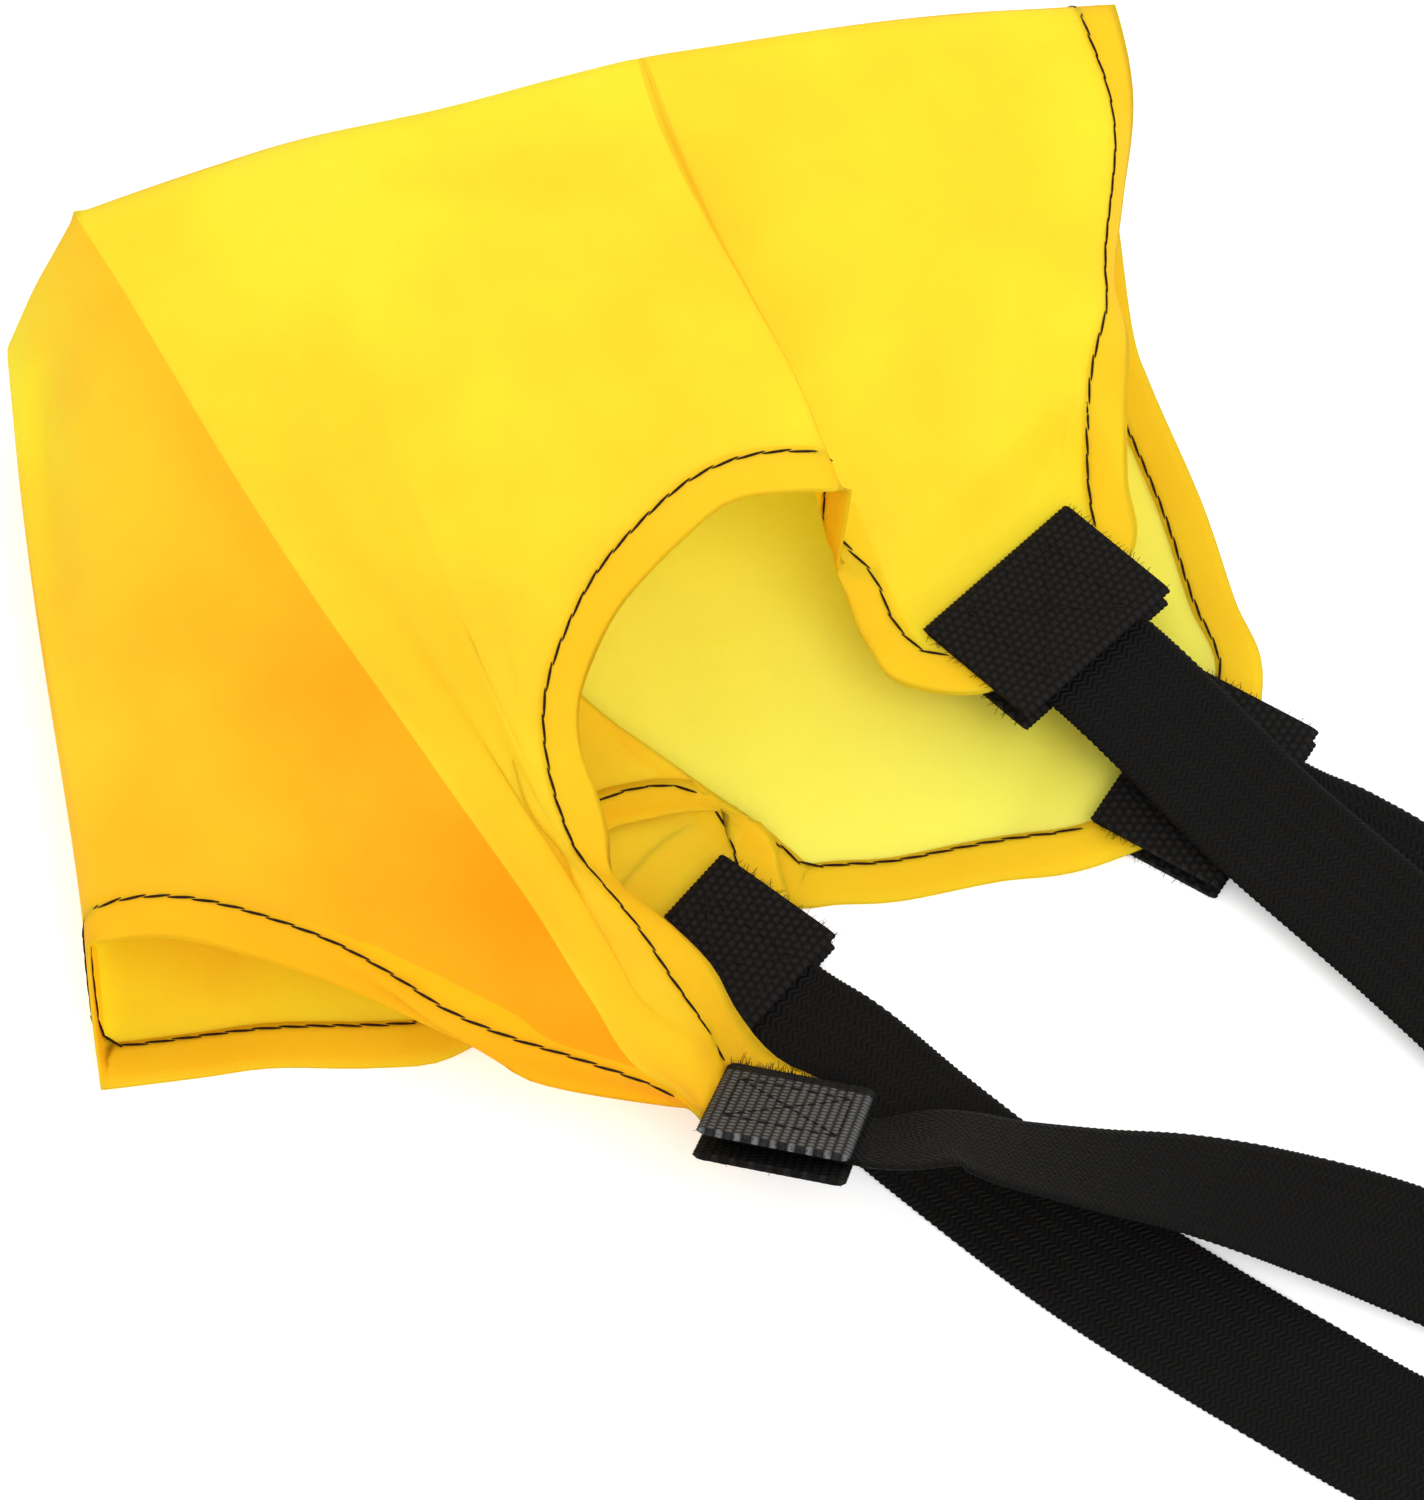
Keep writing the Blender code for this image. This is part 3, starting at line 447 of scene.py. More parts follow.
# Canopy: edge curves of the draped cloth, millimetres from the floor under corner C
drape = {
    "lipLeft": [(-104, -9, 30), (-107, 11, 33), (-115, 48, 34), (-121, 80, 32), (-126, 113, 28)],
    "backLeft": [(-126, 113, 28), (-120, 119, 40), (-113, 127, 50)],
    "ridgeMiddle": [(-113, 127, 50), (-82, 137.4, 53), (-50, 146.6, 54), (-13, 160, 52)],
    "ridgeRight": [(-13, 160, 52), (16, 167, 50), (45, 175, 45), (74, 182, 38)],
    "creaseD": [(-113, 127, 50), (-97, 97, 54), (-79, 64, 55), (-62, 37, 53), (-46, 14, 49),
                (-30, -8, 43), (-20, -23, 38), (-9, -36, 33)],
    "hemFrontLeft": [(-104, -9, 30), (-88, -11, 36), (-63, -20, 38), (-38, -30, 33), (-25, -35, 29)],
    "hemMouth": [(19, -22.5, 5.0), (12, -18.9, 5.9), (7.8, -15.8, 8.4), (3.7, -11.2, 11.3),
                 (-0.3, -5.7, 16.5), (-8, 1.2, 20), (-16.4, 7.1, 23), (-17.6, 14.2, 26),
                 (-19.5, 20.3, 29), (-21.7, 25.2, 31), (-22.8, 31.1, 33), (-22, 38.2, 35),
                 (-17.1, 50, 37.5), (-11, 57.5, 40), (-4, 64, 42.5), (1.5, 68.6, 44),
                 (7, 70.4, 44.7), (13.4, 70.8, 45), (24, 72, 44)],
    "pleatTop": [(-13, 160, 52), (-9, 144, 53), (-2, 126, 54), (8, 105, 54), (15, 92, 52), (24, 72, 44)],
    "pleatUnder": [(-13, 160, 52), (-6, 141, 48), (2, 122, 43), (11, 101, 37), (22, 69, 22)],
    "hemMouthRight": [(22, 69, 22), (25, 63, 19), (28, 57, 16), (33, 51, 14), (48, 49, 14)],
    "hemRight": [(74, 182, 38), (77, 164, 40), (75, 147, 38), (73, 131, 34), (75, 120, 30),
                 (74, 102, 23), (74, 91, 19), (75, 79, 16)],
    "hemRightRear": [(73, 192, 0), (76, 164, 0), (78, 136, 0), (81, 123, 0), (89, 98, 0),
                     (94, 77, 0), (98, 61, 1)],
    "hemNear": [(-21, 3, 0.2), (-12.5, 10.5, 0), (-4, 21, 0), (2, 24.5, 0), (8, 19.5, 0), (14, 14.4, 0),
                (22.3, 14.9, 0), (33, 15.6, 0), (50, 19.4, 0), (67.7, 22, 0.6)],
    "hemLeftRear": [(-104, -21, 0), (-87, -18.6, 0), (-75, -16.8, 0), (-58, -16.8, 0), (-45, -15, 0),
                    (-34, -6, 0.8), (-26, 12, 1.9), (-22, 23, 2.4), (-18, 28.3, 2.8), (-10.8, 30.2, 3.0),
                    (-4.9, 31.4, 3.4), (2.1, 31.1, 4.0), (8.5, 28.6, 4.2)],
    "foldOver": [(-104, 143, 0), (-62, 104, 2.4), (-40, 76, 4.2), (-22.3, 53.7, 4.6), (-4.9, 38.7, 4.8),
                 (2.4, 32.8, 4.8), (8.5, 28.6, 4.2)],
    "flapHem": [(8.5, 28.6, 4.2), (11.2, 25.4, 3.2), (11.6, 21.3, 2.4), (13.0, 16.6, 1.9), (13.4, 10, 1.7)],
    "foldUnder": [(-104, 143, 0), (-62, 101, 0.4), (-42, 62, 0.4), (-34, 34, 0.4), (-21, 3, 0.2)],
    "flapNear": [(-21, 3, 0.2), (-14, 1.5, 1.4), (-6, -1.5, 1.6)],
    "floorLeft": [(-104, -21, 0), (-107.5, 6, 0), (-114, 48, 0), (-118.5, 80, 0), (-123, 114, 0)],
    "floorCorner": [(-123, 114, 0), (-117, 131, 0), (-104, 143, 0)],
    "floorMiddle": [(-104, 143, 0), (-80, 152, 0), (-50, 160, 0), (-13, 171, 0)],
    "floorRight": [(-13, 171, 0), (16, 178, 0), (45, 186, 0), (73, 192, 0)],
}
corners = {
    "a": {"middle": (59, 65, 15), "heading": -45, "roll": 0, "outside": 1},
    "b": {"middle": (86.5, 38, 2), "heading": -32, "roll": 0, "outside": -1},
    "c": {"middle": (0, 0, 2), "heading": -39, "roll": 0, "outside": -1},
    "d": {"middle": (12.3, -36, 20), "heading": -12, "roll": 46, "outside": 1},
}
cloth = {
    "side": 0.360,
    "middleLift": 0.4 * mm,
    "thickness": 0.35 * mm,
    "stepsAlong": 80,
    "stepsFrontLeft": 44,
    "stepsMiddle": 60,
    "stepsRight": 40,
    "stepsPleat": 6,
    "stepsWall": 14,
    "wallBulge": [(0.0, 0.3 * mm), (0.3, 1.0 * mm), (0.5, 3.0 * mm), (0.65, 6.5 * mm), (1.0, 6.5 * mm)],
    "smoothing": 4,
    "stepsFlapHem": 12,
    "stepsFlap": 30,
    "tipReach": 0.3,
    "patchAlong": 25.5 * mm,
    "patchAcross": 36.5 * mm,
    "flatMargin": {"a": 2 * mm, "b": 2 * mm, "c": 1 * mm, "d": 0.2 * mm},
    "flatFade": {"a": 11 * mm, "b": 12 * mm, "c": 5 * mm, "d": 3 * mm},
    "flatReach": 24 * mm,
    "hemSteps": [(0.4, 0.26), (2.0, 0.42), (4.1, 0.42), (6.2, 0.42), (8.2, 0.42)],
    "seamInset": 7.4 * mm,
    "stitchPitch": 4.6 * mm,
    "threadRadius": 0.25 * mm,
    "threadLifts": (-0.27 * mm, 0.69 * mm),
    "threadSlant": 0.35 * mm,
    "underlapWay": (0.86, 0.51, 0),
    "underlapSpread": 9 * mm,
    "rearLap": (1.9 * mm, 26 * mm),
    "flapLap": (0.9 * mm, 16 * mm),
    "rippleScale": 34,
    "rippleHeight": 0.9 * mm,
    "rippleFade": 12 * mm,
    "insideSpot": (0.02, 0.12, 0),
    "merge": 0.02 * mm,
    "hemPaintedShade": 0.3,
    "hemUvPitch": 2.3 * mm,
    "straightReach": 14 * mm,
    "foldFade": (8, 5),
    "creaseKept": 0.05 * mm,
    "walkStep": 1.0 * mm,
    "seamRounds": 4,
}


def cornerFrame(letter):
    corner = corners[letter]
    heading = math.radians(corner["heading"])
    roll = math.radians(corner["roll"])
    along = Vector((math.cos(heading), math.sin(heading), 0))
    level = Vector((math.sin(heading), -math.cos(heading), 0))
    across = level * math.cos(roll) + up * math.sin(roll)
    out = (up * math.cos(roll) - level * math.sin(roll)) * corner["outside"]
    return Vector(corner["middle"]) * mm, along, across, out


def cornerTip(letter):
    middle, along, _, _ = cornerFrame(letter)
    return middle + along * cloth["patchAlong"] * cloth["tipReach"]


def edge(name, count, before=None, after=None):
    rows = [Vector(p) * mm + up * cloth["middleLift"] for p in drape[name]]
    if before:
        rows = [cornerTip(before)] + rows
    if after:
        rows = rows + [cornerTip(after)]
    return evenly(rows, count)


def coonsPatch(bottom, top, left, right):
    # a smooth sheet between its four edge curves
    across, upward = len(bottom) - 1, len(left) - 1
    rows = []
    for j in range(upward + 1):
        v = j / upward
        row = []
        for i in range(across + 1):
            u = i / across
            ruled = bottom[i].lerp(top[i], v) + left[j].lerp(right[j], u)
            row.append(ruled - bottom[0].lerp(bottom[-1], u).lerp(top[0].lerp(top[-1], u), v))
        rows.append(row)
    return rows


def easeShare(value):
    share = min(max(value, 0.0), 1.0)
    return share * share * (3 - 2 * share)


def settled(rows, fold, rise, crestReach):
    # on the floor where it is alone, higher past the fold of the layer below, and up to its own crease
    low = cloth["middleLift"]
    for row in rows[1:-1]:
        for point in row[1:-1]:
            under = min(fold, key=lambda p: (p.xy - point.xy).length)
            past = (point - under).dot(Vector(cloth["underlapWay"]))
            crest = max(0.0, 1 - (row[-1] - point).length / crestReach) ** 2
            lift = rise * easeShare(past / cloth["underlapSpread"] + 0.5)
            point.z = low + max(lift, crest * (row[-1].z - low))
    return rows


# where the right-hand hem rolls back until it is seen edge-on
rollBack = {"reach": 22 * mm, "squeeze": 0.95, "drop": 12 * mm, "start": 0.34, "rise": 0.26, "fall": 0.25}


def rolledBack(rows):
    last = len(rows) - 1
    for j, row in enumerate(rows[:-1]):
        risen = easeShare((j / last - rollBack["start"]) / rollBack["rise"])
        strength = risen * easeShare((1 - j / last) / rollBack["fall"])
        hemSpot = row[-1].copy()
        for point in row[1:]:
            near = max(0.0, 1 - (hemSpot - point).length / rollBack["reach"])
            pull = rollBack["squeeze"] * near * strength
            point.x += (hemSpot.x - point.x) * pull
            point.y += (hemSpot.y - point.y) * pull
            point.z -= rollBack["drop"] * near * near * strength
    return rows


def between(pairs, at):
    # a value that runs straight from pair to pair
    for (a, low), (b, high) in zip(pairs, pairs[1:]):
        if at <= b:
            return low + (high - low) * (at - a) / (b - a)
    return pairs[-1][1]


def wallRows(floor, crest):
    rows = []
    for j in range(cloth["stepsWall"] + 1):
        v = j / cloth["stepsWall"]
        row = []
        for i, (low, high) in enumerate(zip(floor, crest)):
            run = (floor[min(i + 1, len(floor) - 1)] - floor[max(i - 1, 0)]).normalized()
            outward = Vector((-run.y, run.x, 0))
            bulge = between(cloth["wallBulge"], i / (len(floor) - 1))
            row.append(low.lerp(high, v) + outward * (bulge * math.sin(math.pi * v)))
        rows.append(row)
    return rows


# soft folds: panel, two ends, width and depth, millimetres
softFolds = [
    ("frontMiddle", (-71, 96, 52), (-27, 20, 31), 7, -3.4),
    ("frontMiddle", (-62, 104, 52), (-14, 34, 33), 6, 1.4),
    ("frontMiddle", (-113, 127, 50), (-40, 92, 52), 8, 1.2),
    ("frontMiddle", (-13, 158, 52), (-22, 100, 48), 9, -1.6),
    ("frontMiddle", (-60, 146, 54), (-50, 112, 52), 9, -1.0),
    ("frontRight", (20, 167, 50), (38, 96, 34), 9, -1.8),
    ("frontRight", (44, 174, 45), (58, 110, 32), 8, 1.4),
    ("frontRight", (30, 70, 22), (64, 112, 30), 8, -1.4),
    ("frontLeft", (-125, 113, 28), (-100, 108, 46), 4, -3.0),
    ("frontLeft", (-116, 100, 38), (-109, 7, 33), 5, -4.0),
    ("frontLeft", (-108, 112, 48), (-82, 20, 42), 9, 1.5),
    ("frontLeft", (-92, 88, 52), (-56, -12, 38), 8, -1.2),
    ("rearLeft", (-104, 130, 0), (-60, -10, 0), 10, 1.6),
    ("rear", (20, 166, 0), (40, 30, 0), 14, 1.0),
]


def crumpled(name, rows):
    # the free edges keep their place, the rest follows the soft folds
    rim, side = cloth["foldFade"]
    for panel, start, end, width, depth in softFolds:
        if panel != name:
            continue
        a, b = Vector(start) * mm, Vector(end) * mm
        line = b - a
        for j, row in enumerate(rows[1:-1], start=1):
            for i, point in enumerate(row[1:-1], start=1):
                share = (point - a).dot(line) / line.length_squared
                gap = (point - a - line * min(max(share, 0.0), 1.0)).length / (width * mm)
                ends = min(j, len(rows) - 1 - j, rim) / rim * min(i, len(row) - 1 - i, side) / side
                point.z += depth * mm * ends * math.exp(-gap * gap)
    return rows


def pressFlat(point, letters):
    for letter in letters:
        middle, along, across, out = cornerFrame(letter)
        offset = point - middle
        reach = max(
            abs(offset.dot(along)) - cloth["patchAlong"] / 2,
            abs(offset.dot(across)) - cloth["patchAcross"] / 2,
        )
        share = easeShare(1 - (reach - cloth["flatMargin"][letter]) / cloth["flatFade"][letter])
        height = offset.dot(out)
        if abs(height) < cloth["flatReach"]:
            point = point - out * (height * share)
    return point


def clothPanels():
    tall, left, middle = cloth["stepsAlong"], cloth["stepsFrontLeft"], cloth["stepsMiddle"]
    right = cloth["stepsRight"]
    lipLeft = edge("lipLeft", tall)
    creaseD = edge("creaseD", tall, after="d")[::-1]
    backLeft = edge("backLeft", left)
    ridgeMiddle = edge("ridgeMiddle", middle)
    ridgeRight = edge("ridgeRight", right)
    pleatTop = edge("pleatTop", tall)[::-1]
    pleatUnder = edge("pleatUnder", tall)[::-1]
    hemRight = edge("hemRight", tall, after="a")[::-1]
    hemRightRear = edge("hemRightRear", tall + cloth["stepsFlapHem"], after="b")[::-1]
    flapTall = tall + cloth["stepsFlapHem"]
    foldOver = edge("foldOver", tall)[::-1]
    foldUnder = edge("foldUnder", flapTall)[::-1]
    flapHem = edge("flapHem", cloth["stepsFlapHem"], after="c")[::-1]
    floorLeft = edge("floorLeft", tall)
    floorCorner = edge("floorCorner", left)
    floorMiddle = edge("floorMiddle", middle)
    floorRight = edge("floorRight", right)
    pleatSteps = cloth["stepsPleat"]
    pleat = [[a.lerp(b, k / pleatSteps) for k in range(pleatSteps + 1)]
             for a, b in zip(pleatTop, pleatUnder)]
    floor = floorLeft + floorCorner[1:] + floorMiddle[1:] + floorRight[1:]
    crest = lipLeft + backLeft[1:] + ridgeMiddle[1:] + ridgeRight[1:]
    return {
        "frontLeft": (coonsPatch(edge("hemFrontLeft", left, after="d"), backLeft, lipLeft, creaseD), "d"),
        "frontMiddle": (coonsPatch(edge("hemMouth", middle, before="d"), ridgeMiddle, creaseD,
                                   pleatTop), "d"),
        "pleat": (pleat, "a"),
        "frontRight": (rolledBack(coonsPatch(edge("hemMouthRight", right, after="a"), ridgeRight, pleatUnder,
                                             hemRight)), "a"),
        "wall": (wallRows(floor, crest), ""),
        "rearLeft": (settled(coonsPatch(edge("hemLeftRear", left), floorCorner, floorLeft, foldOver),
                             foldUnder, *cloth["rearLap"]), ""),
        "flap": (settled(coonsPatch(edge("flapNear", cloth["stepsFlap"], after="c"),
                                    [foldUnder[-1]] * (cloth["stepsFlap"] + 1), foldUnder,
                                    flapHem + foldOver[1:]), foldUnder, *cloth["flapLap"]), "c"),
        "rear": (coonsPatch(edge("hemNear", middle + right, after="b"), floorMiddle + floorRight[1:],
                            foldUnder, hemRightRear), "b"),
    }


# whether a panel's first row is a free edge, and how many of its rows end at one
panelHems = {"frontLeft": (1, 0), "frontMiddle": (1, 0), "pleat": (1, 0), "frontRight": (1, 999),
             "wall": (0, 0), "rearLeft": (1, 0), "flap": (1, 13), "rear": (1, 999)}
# painted shade at each panel's four corners: hem left and right, far edge left and right; below 0 is painted
# light, paler
panelPaintedShade = {"frontLeft": (0.45, 1.15, 0.0, 0.35), "frontMiddle": (0.55, 0.15, 0.05, 0.0),
               "pleat": (0.4, 0.4, 0.3, 0.3), "frontRight": (0.2, 0.15, 0.1, 0.15),
               "wall": (0.4, 0.4, 0.4, 0.4), "rearLeft": (0.1, 0.2, 0.1, 0.2), "flap": (0.25, 0.3, 0.2, 0.2),
               "rear": (-0.7, -0.85, -0.45, -0.4)}


def addRows(bm, name, rows, letters):
    # one grid per panel, with its UV map in metres and each point's distance to the panel's free edge
    uvMap = bm.loops.layers.uv.verify()
    flat = bm.verts.layers.int["flatCorners"]
    paintedShadeLayer = bm.loops.layers.float["paintedShadeAndLight"]
    fromEdge = bm.loops.layers.float["hemDistance"]
    freeRows = panelHems[name]
    hem = (rows[0] if freeRows[0] else []) + [row[-1] for row in rows[:freeRows[1]]]
    nearEdge = nearestTree(hem)
    across, upward = len(rows[0]) - 1, len(rows) - 1
    width = sum((b - a).length for a, b in zip(rows[upward // 2], rows[upward // 2][1:]))
    length = sum((b[across // 2] - a[across // 2]).length for a, b in zip(rows, rows[1:]))
    made = bmesh.ops.create_grid(bm, x_segments=across, y_segments=upward, size=0.5, calc_uvs=True)
    faces = set()
    reach = {}
    for v in made["verts"]:
        i, j = round((v.co.x + 0.5) * across), round((v.co.y + 0.5) * upward)
        v.co = rows[j][i]
        v[flat] = sum(1 << "abcd".index(letter) for letter in letters)
        reach[v] = 1.0
        if hem:
            _, k, gap = nearEdge.find(v.co)
            run = (hem[min(k + 1, len(hem) - 1)] - hem[max(k - 1, 0)]).normalized()
            offset = v.co - hem[k]
            reach[v] = (offset - run * offset.dot(run)).length if gap < cloth["straightReach"] else gap
        faces.update(v.link_faces)
    # painted shade and painted light, spread between the panel's four corners
    lowLeft, lowRight, farLeft, farRight = panelPaintedShade[name]
    for face in faces:
        for loop in face.loops:
            at = loop[uvMap].uv
            nearTint = lowLeft + (lowRight - lowLeft) * at.x
            farTint = farLeft + (farRight - farLeft) * at.x
            loop[paintedShadeLayer] = nearTint + (farTint - nearTint) * at.y
            loop[fromEdge] = reach[loop.vert]
            loop[uvMap].uv = (at.x * width, at.y * length)


def walkInward(tree, start, inward, distance):
    # follows the cloth's surface from its edge; gives the place and the face's normal there
    steps = max(1, round(distance / cloth["walkStep"]))
    spot, way, normal = start, inward, up
    for _ in range(steps):
        found = tree.find_nearest(spot + way * (distance / steps))
        moved = found[0] - spot
        if moved.length > 1e-6:
            way = (way + moved.normalized()).normalized()
        spot, normal = found[0], found[1]
    return spot, normal


def inwardLine(tree, ring, reach):
    # one spot and normal per point of the free edge; short slips to another layer are bridged
    line = [walkInward(tree, start, inward, reach) for _, start, inward, _ in ring]
    for width in (1, 2, 3, 4):
        for k in range(len(line)):
            before, after = line[k - 1], line[(k + width) % len(line)]
            slipped = [(k + i) % len(line) for i in range(width)]
            if before[1].dot(after[1]) < 0.3 or any(line[i][1].dot(before[1]) > 0 for i in slipped):
                continue
            for i, at in enumerate(slipped):
                share = (i + 1) / (width + 1)
                line[at] = (before[0].lerp(after[0], share), before[1].lerp(after[1], share).normalized())
    return line


def hemRing(bm):
    # the cloth's free edge in order, each point with its direction into the cloth
    edges = {e for e in bm.edges if e.is_boundary}
    first = next(iter(sorted(edges, key=lambda e: e.index)))
    ring = [first.verts[0], first.verts[1]]
    used = {first}
    while True:
        onward = [e for e in ring[-1].link_edges if e in edges and e not in used]
        if not onward:
            break
        used.add(onward[0])
        ring.append(onward[0].other_vert(ring[-1]))
    ring = ring[:-1] if ring[-1] is ring[0] else ring
    rows = []
    for k, v in enumerate(ring):
        run = (ring[(k + 1) % len(ring)].co - ring[k - 1].co).normalized()
        inside = Vector((0, 0, 0))
        for e in v.link_edges:
            if e not in edges:
                inside += (e.other_vert(v).co - v.co).normalized()
        for face in v.link_faces:
            inside += (face.calc_center_median() - v.co).normalized() * 0.5
        inside = inside - run * inside.dot(run)
        rows.append((v, v.co.copy(), inside.normalized(), run))
    return rows


def turnHem(bm, ring, tree, innerSign):
    uvMap = bm.loops.layers.uv.verify()
    fromEdge = bm.loops.layers.float["hemDistance"]
    paintedShadeLayer = bm.loops.layers.float["paintedShadeAndLight"]
    last = {row[0]: k for k, row in enumerate(ring)}
    for reach, lift in cloth["hemSteps"]:
        line = inwardLine(tree, ring, reach * mm)
        edges = [e for e in bm.edges if e.is_boundary]
        made = bmesh.ops.extrude_edge_only(bm, edges=edges)["geom"]
        fresh = {}
        for v in made:
            if not isinstance(v, bmesh.types.BMVert):
                continue
            k = next(last[e.other_vert(v)] for e in v.link_edges if e.other_vert(v) in last)
            spot, normal = line[k]
            v.co = spot + normal * (innerSign * lift * mm)
            fresh[v] = k
        for face in {f for v in fresh for f in v.link_faces}:
            for loop in face.loops:
                k = fresh.get(loop.vert, last.get(loop.vert, 0))
                depth = reach if loop.vert in fresh else reach - 2
                loop[uvMap].uv = (k * cloth["hemUvPitch"], depth * mm)
                loop[fromEdge] = 2 * mm
                # painted shade on the turned hem bands
                loop[paintedShadeLayer] = cloth["hemPaintedShade"]
        last = fresh


def buildCanopy(panels):
    bm = bmesh.new()
    flat = bm.verts.layers.int.new("flatCorners")
    # painted shade and painted light, and the distance to the free edge for the hem's painted shade
    bm.loops.layers.float.new("paintedShadeAndLight")
    bm.loops.layers.float.new("hemDistance")
    for name, (rows, letters) in panels.items():
        addRows(bm, name, crumpled(name, rows), letters)
    bmesh.ops.remove_doubles(bm, verts=bm.verts, dist=cloth["merge"])
    creases = [row[-1] for name in ("frontLeft", "rearLeft") for row in panels[name][0]]
    creases += [row[0] for row in panels["flap"][0]]
    creaseTree = nearestTree(creases)
    inner = [v for v in bm.verts if not v.is_boundary]
    soft = [v for v in inner if creaseTree.find(v.co)[2] > cloth["creaseKept"]]
    pinned = {v: [letter for k, letter in enumerate("abcd") if v[flat] >> k & 1] for v in bm.verts}
    for v, letters in pinned.items():
        v.co = pressFlat(v.co, letters)
    everyAxis = {"use_axis_x": True, "use_axis_y": True, "use_axis_z": True}
    for verts, factor in [(soft, 0.5)] * cloth["smoothing"] + [(inner, 0.4)]:
        bmesh.ops.smooth_vert(bm, verts=verts, factor=factor, **everyAxis)
    for v in inner:
        ripple = noise.noise(v.co * cloth["rippleScale"]) * cloth["rippleHeight"]
        v.co.z += ripple * min(v.co.z / cloth["rippleFade"], 1.0)
        v.co = pressFlat(v.co, pinned[v])
    bmesh.ops.recalc_face_normals(bm, faces=bm.faces)
    tree = BVHTree.FromBMesh(bm)
    innerSign = math.copysign(1, tree.find_nearest(Vector(cloth["insideSpot"]))[1].z)
    ring = hemRing(bm)
    print("free edge", len(ring), "points of", sum(v.is_boundary for v in bm.verts))
    seam = inwardLine(tree, ring, cloth["seamInset"])
    for _ in range(cloth["seamRounds"]):
        spots = [spot for spot, _ in seam]
        for k, spot in enumerate(spots):
            around = spots[k - 1], spots[(k + 1) % len(spots)]
            found = tree.find_nearest((spot * 2 + around[0] + around[1]) / 4)
            if found[1].dot(seam[k][1]) > 0.4:
                seam[k] = (found[0], found[1])
    seam = [(spot, normal * innerSign) for spot, normal in seam]
    turnHem(bm, ring, tree, innerSign)
    piece = finishPiece("canopyCloth", bm, clothMat, "chute", "canopy")
    solid = piece.modifiers.new("clothThickness", "SOLIDIFY")
    solid.thickness = cloth["thickness"]
    solid.offset = 0
    return piece, seam


def addGrain(bm, middle, run, normal, length, radius):
    # one stitch: a grain of thread lying along the run
    way = (run - normal * run.dot(normal)).normalized()
    turn = Matrix((way, normal.cross(way), normal)).transposed().to_4x4()
    grain = Matrix.Diagonal((length / 2, radius, radius, 1))
    place = Matrix.Translation(middle) @ turn @ grain @ Matrix.Rotation(math.pi / 2, 4, "Y")
    bmesh.ops.create_uvsphere(bm, u_segments=8, v_segments=5, radius=1.0, matrix=place)


def underPatch(point):
    for letter in "abcd":
        middle, along, across, out = cornerFrame(letter)
        offset = point - middle
        if (abs(offset.dot(along)) < cloth["patchAlong"] / 2 + 1 * mm
                and abs(offset.dot(across)) < cloth["patchAcross"] / 2 + 1 * mm
                and abs(offset.dot(out)) < 6 * mm):
            return True
    return False


def buildSeam(seam):
    # one grain of thread per stitch, on both faces of the hem
    bm = bmesh.new()
    closed = seam + [seam[0]]
    lengths = lengthsAlong([spot for spot, _ in closed])
    holes = []
    for at, share in evenStops(lengths, round(lengths[-1] / cloth["stitchPitch"])):
        a, b = closed[at], closed[at + 1]
        holes.append((a[0].lerp(b[0], share), a[1].lerp(b[1], share).normalized()))
    for a, b in zip(holes, holes[1:]):
        middle = (a[0] + b[0]) / 2
        if underPatch(middle) or a[1].dot(b[1]) < 0.2:
            continue
        run = b[0] - a[0]
        normal = (a[1] + b[1]).normalized()
        side = run.cross(normal).normalized()
        slant = (run + side * cloth["threadSlant"]).normalized()
        for lift in cloth["threadLifts"]:
            addGrain(bm, middle + normal * lift, slant, normal, run.length * 1.2, cloth["threadRadius"])
    return finishPiece("hemStitches", bm, seamMat, "chute")


panels = clothPanels()
canopy, seam = buildCanopy(panels)
stitches = buildSeam(seam)
print("stage: canopy", len(canopy.data.vertices))


# Webbing: one section swept along a route of (point, side, distance)
def webbingSection(width, thickness, wales, groove, edgeShare):
    count = wales * 2
    top = []
    for k in range(1, count):
        x = -width / 2 + width * k / count
        fromEdge = min(k, count - k)
        z = thickness / 2 * (edgeShare if fromEdge == 1 else 1.0) - (groove if k % 2 == 0 else 0)
        top.append((x, z))
    bottom = [(x, -z) for x, z in reversed(top)]
    return [(-width / 2, 0.0)] + top + [(width / 2, 0.0)] + bottom


def sweep(bm, section, route, scallop=0.0, relief=None):
    uvMap = bm.loops.layers.uv.verify()
    around, steps = len(section), len(route) - 1
    made = bmesh.ops.create_grid(bm, x_segments=around, y_segments=steps, size=0.5)
    half = max(x for x, _ in section)
    spots = {}
    for v in made["verts"]:
        i, j = spots[v] = round((v.co.x + 0.5) * around), round((v.co.y + 0.5) * steps)
        point, side, out, distance = route[j]
        x, z = section[i % around]
        if abs(x) > half * 0.97:
            x += math.copysign(scallop, x) * (1 if j % 2 else -1)
        if relief:
            z += relief(x, distance, z)
        v.co = point + side * x + out * z
    for face in {f for v in spots for f in v.link_faces}:
        for loop in face.loops:
            i, j = spots[loop.vert]
            x = section[i % around][0]
            loop[uvMap].uv = (x + half, route[j][3])
    bmesh.ops.remove_doubles(bm, verts=made["verts"], dist=0.002 * mm)
    ends = [e for e in bm.edges if e.is_boundary]
    for e in ends:
        e.smooth = False
    bmesh.ops.holes_fill(bm, edges=ends, sides=0)


def makeRoute(points, sides, step):
    # keeps every given point and adds more on long stretches
    route = []
    distance = 0.0
    count = len(points)
    for i in range(count - 1):
        a, b = points[i], points[i + 1]
        length = (b - a).length
        cuts = max(1, math.ceil(length / step))
        for k in range(cuts):
            share = k / cuts
            route.append([a.lerp(b, share), sides[i].lerp(sides[i + 1], share), distance + length * share])
        distance += length
    route.append([points[-1], sides[-1], distance])
    framed = []
    for k, (point, side, travelled) in enumerate(route):
        run = (route[min(k + 1, len(route) - 1)][0] - route[max(k - 1, 0)][0]).normalized()
        flat = (side - run * side.dot(run)).normalized()
        framed.append((point, flat, run.cross(flat), travelled))
    return framed


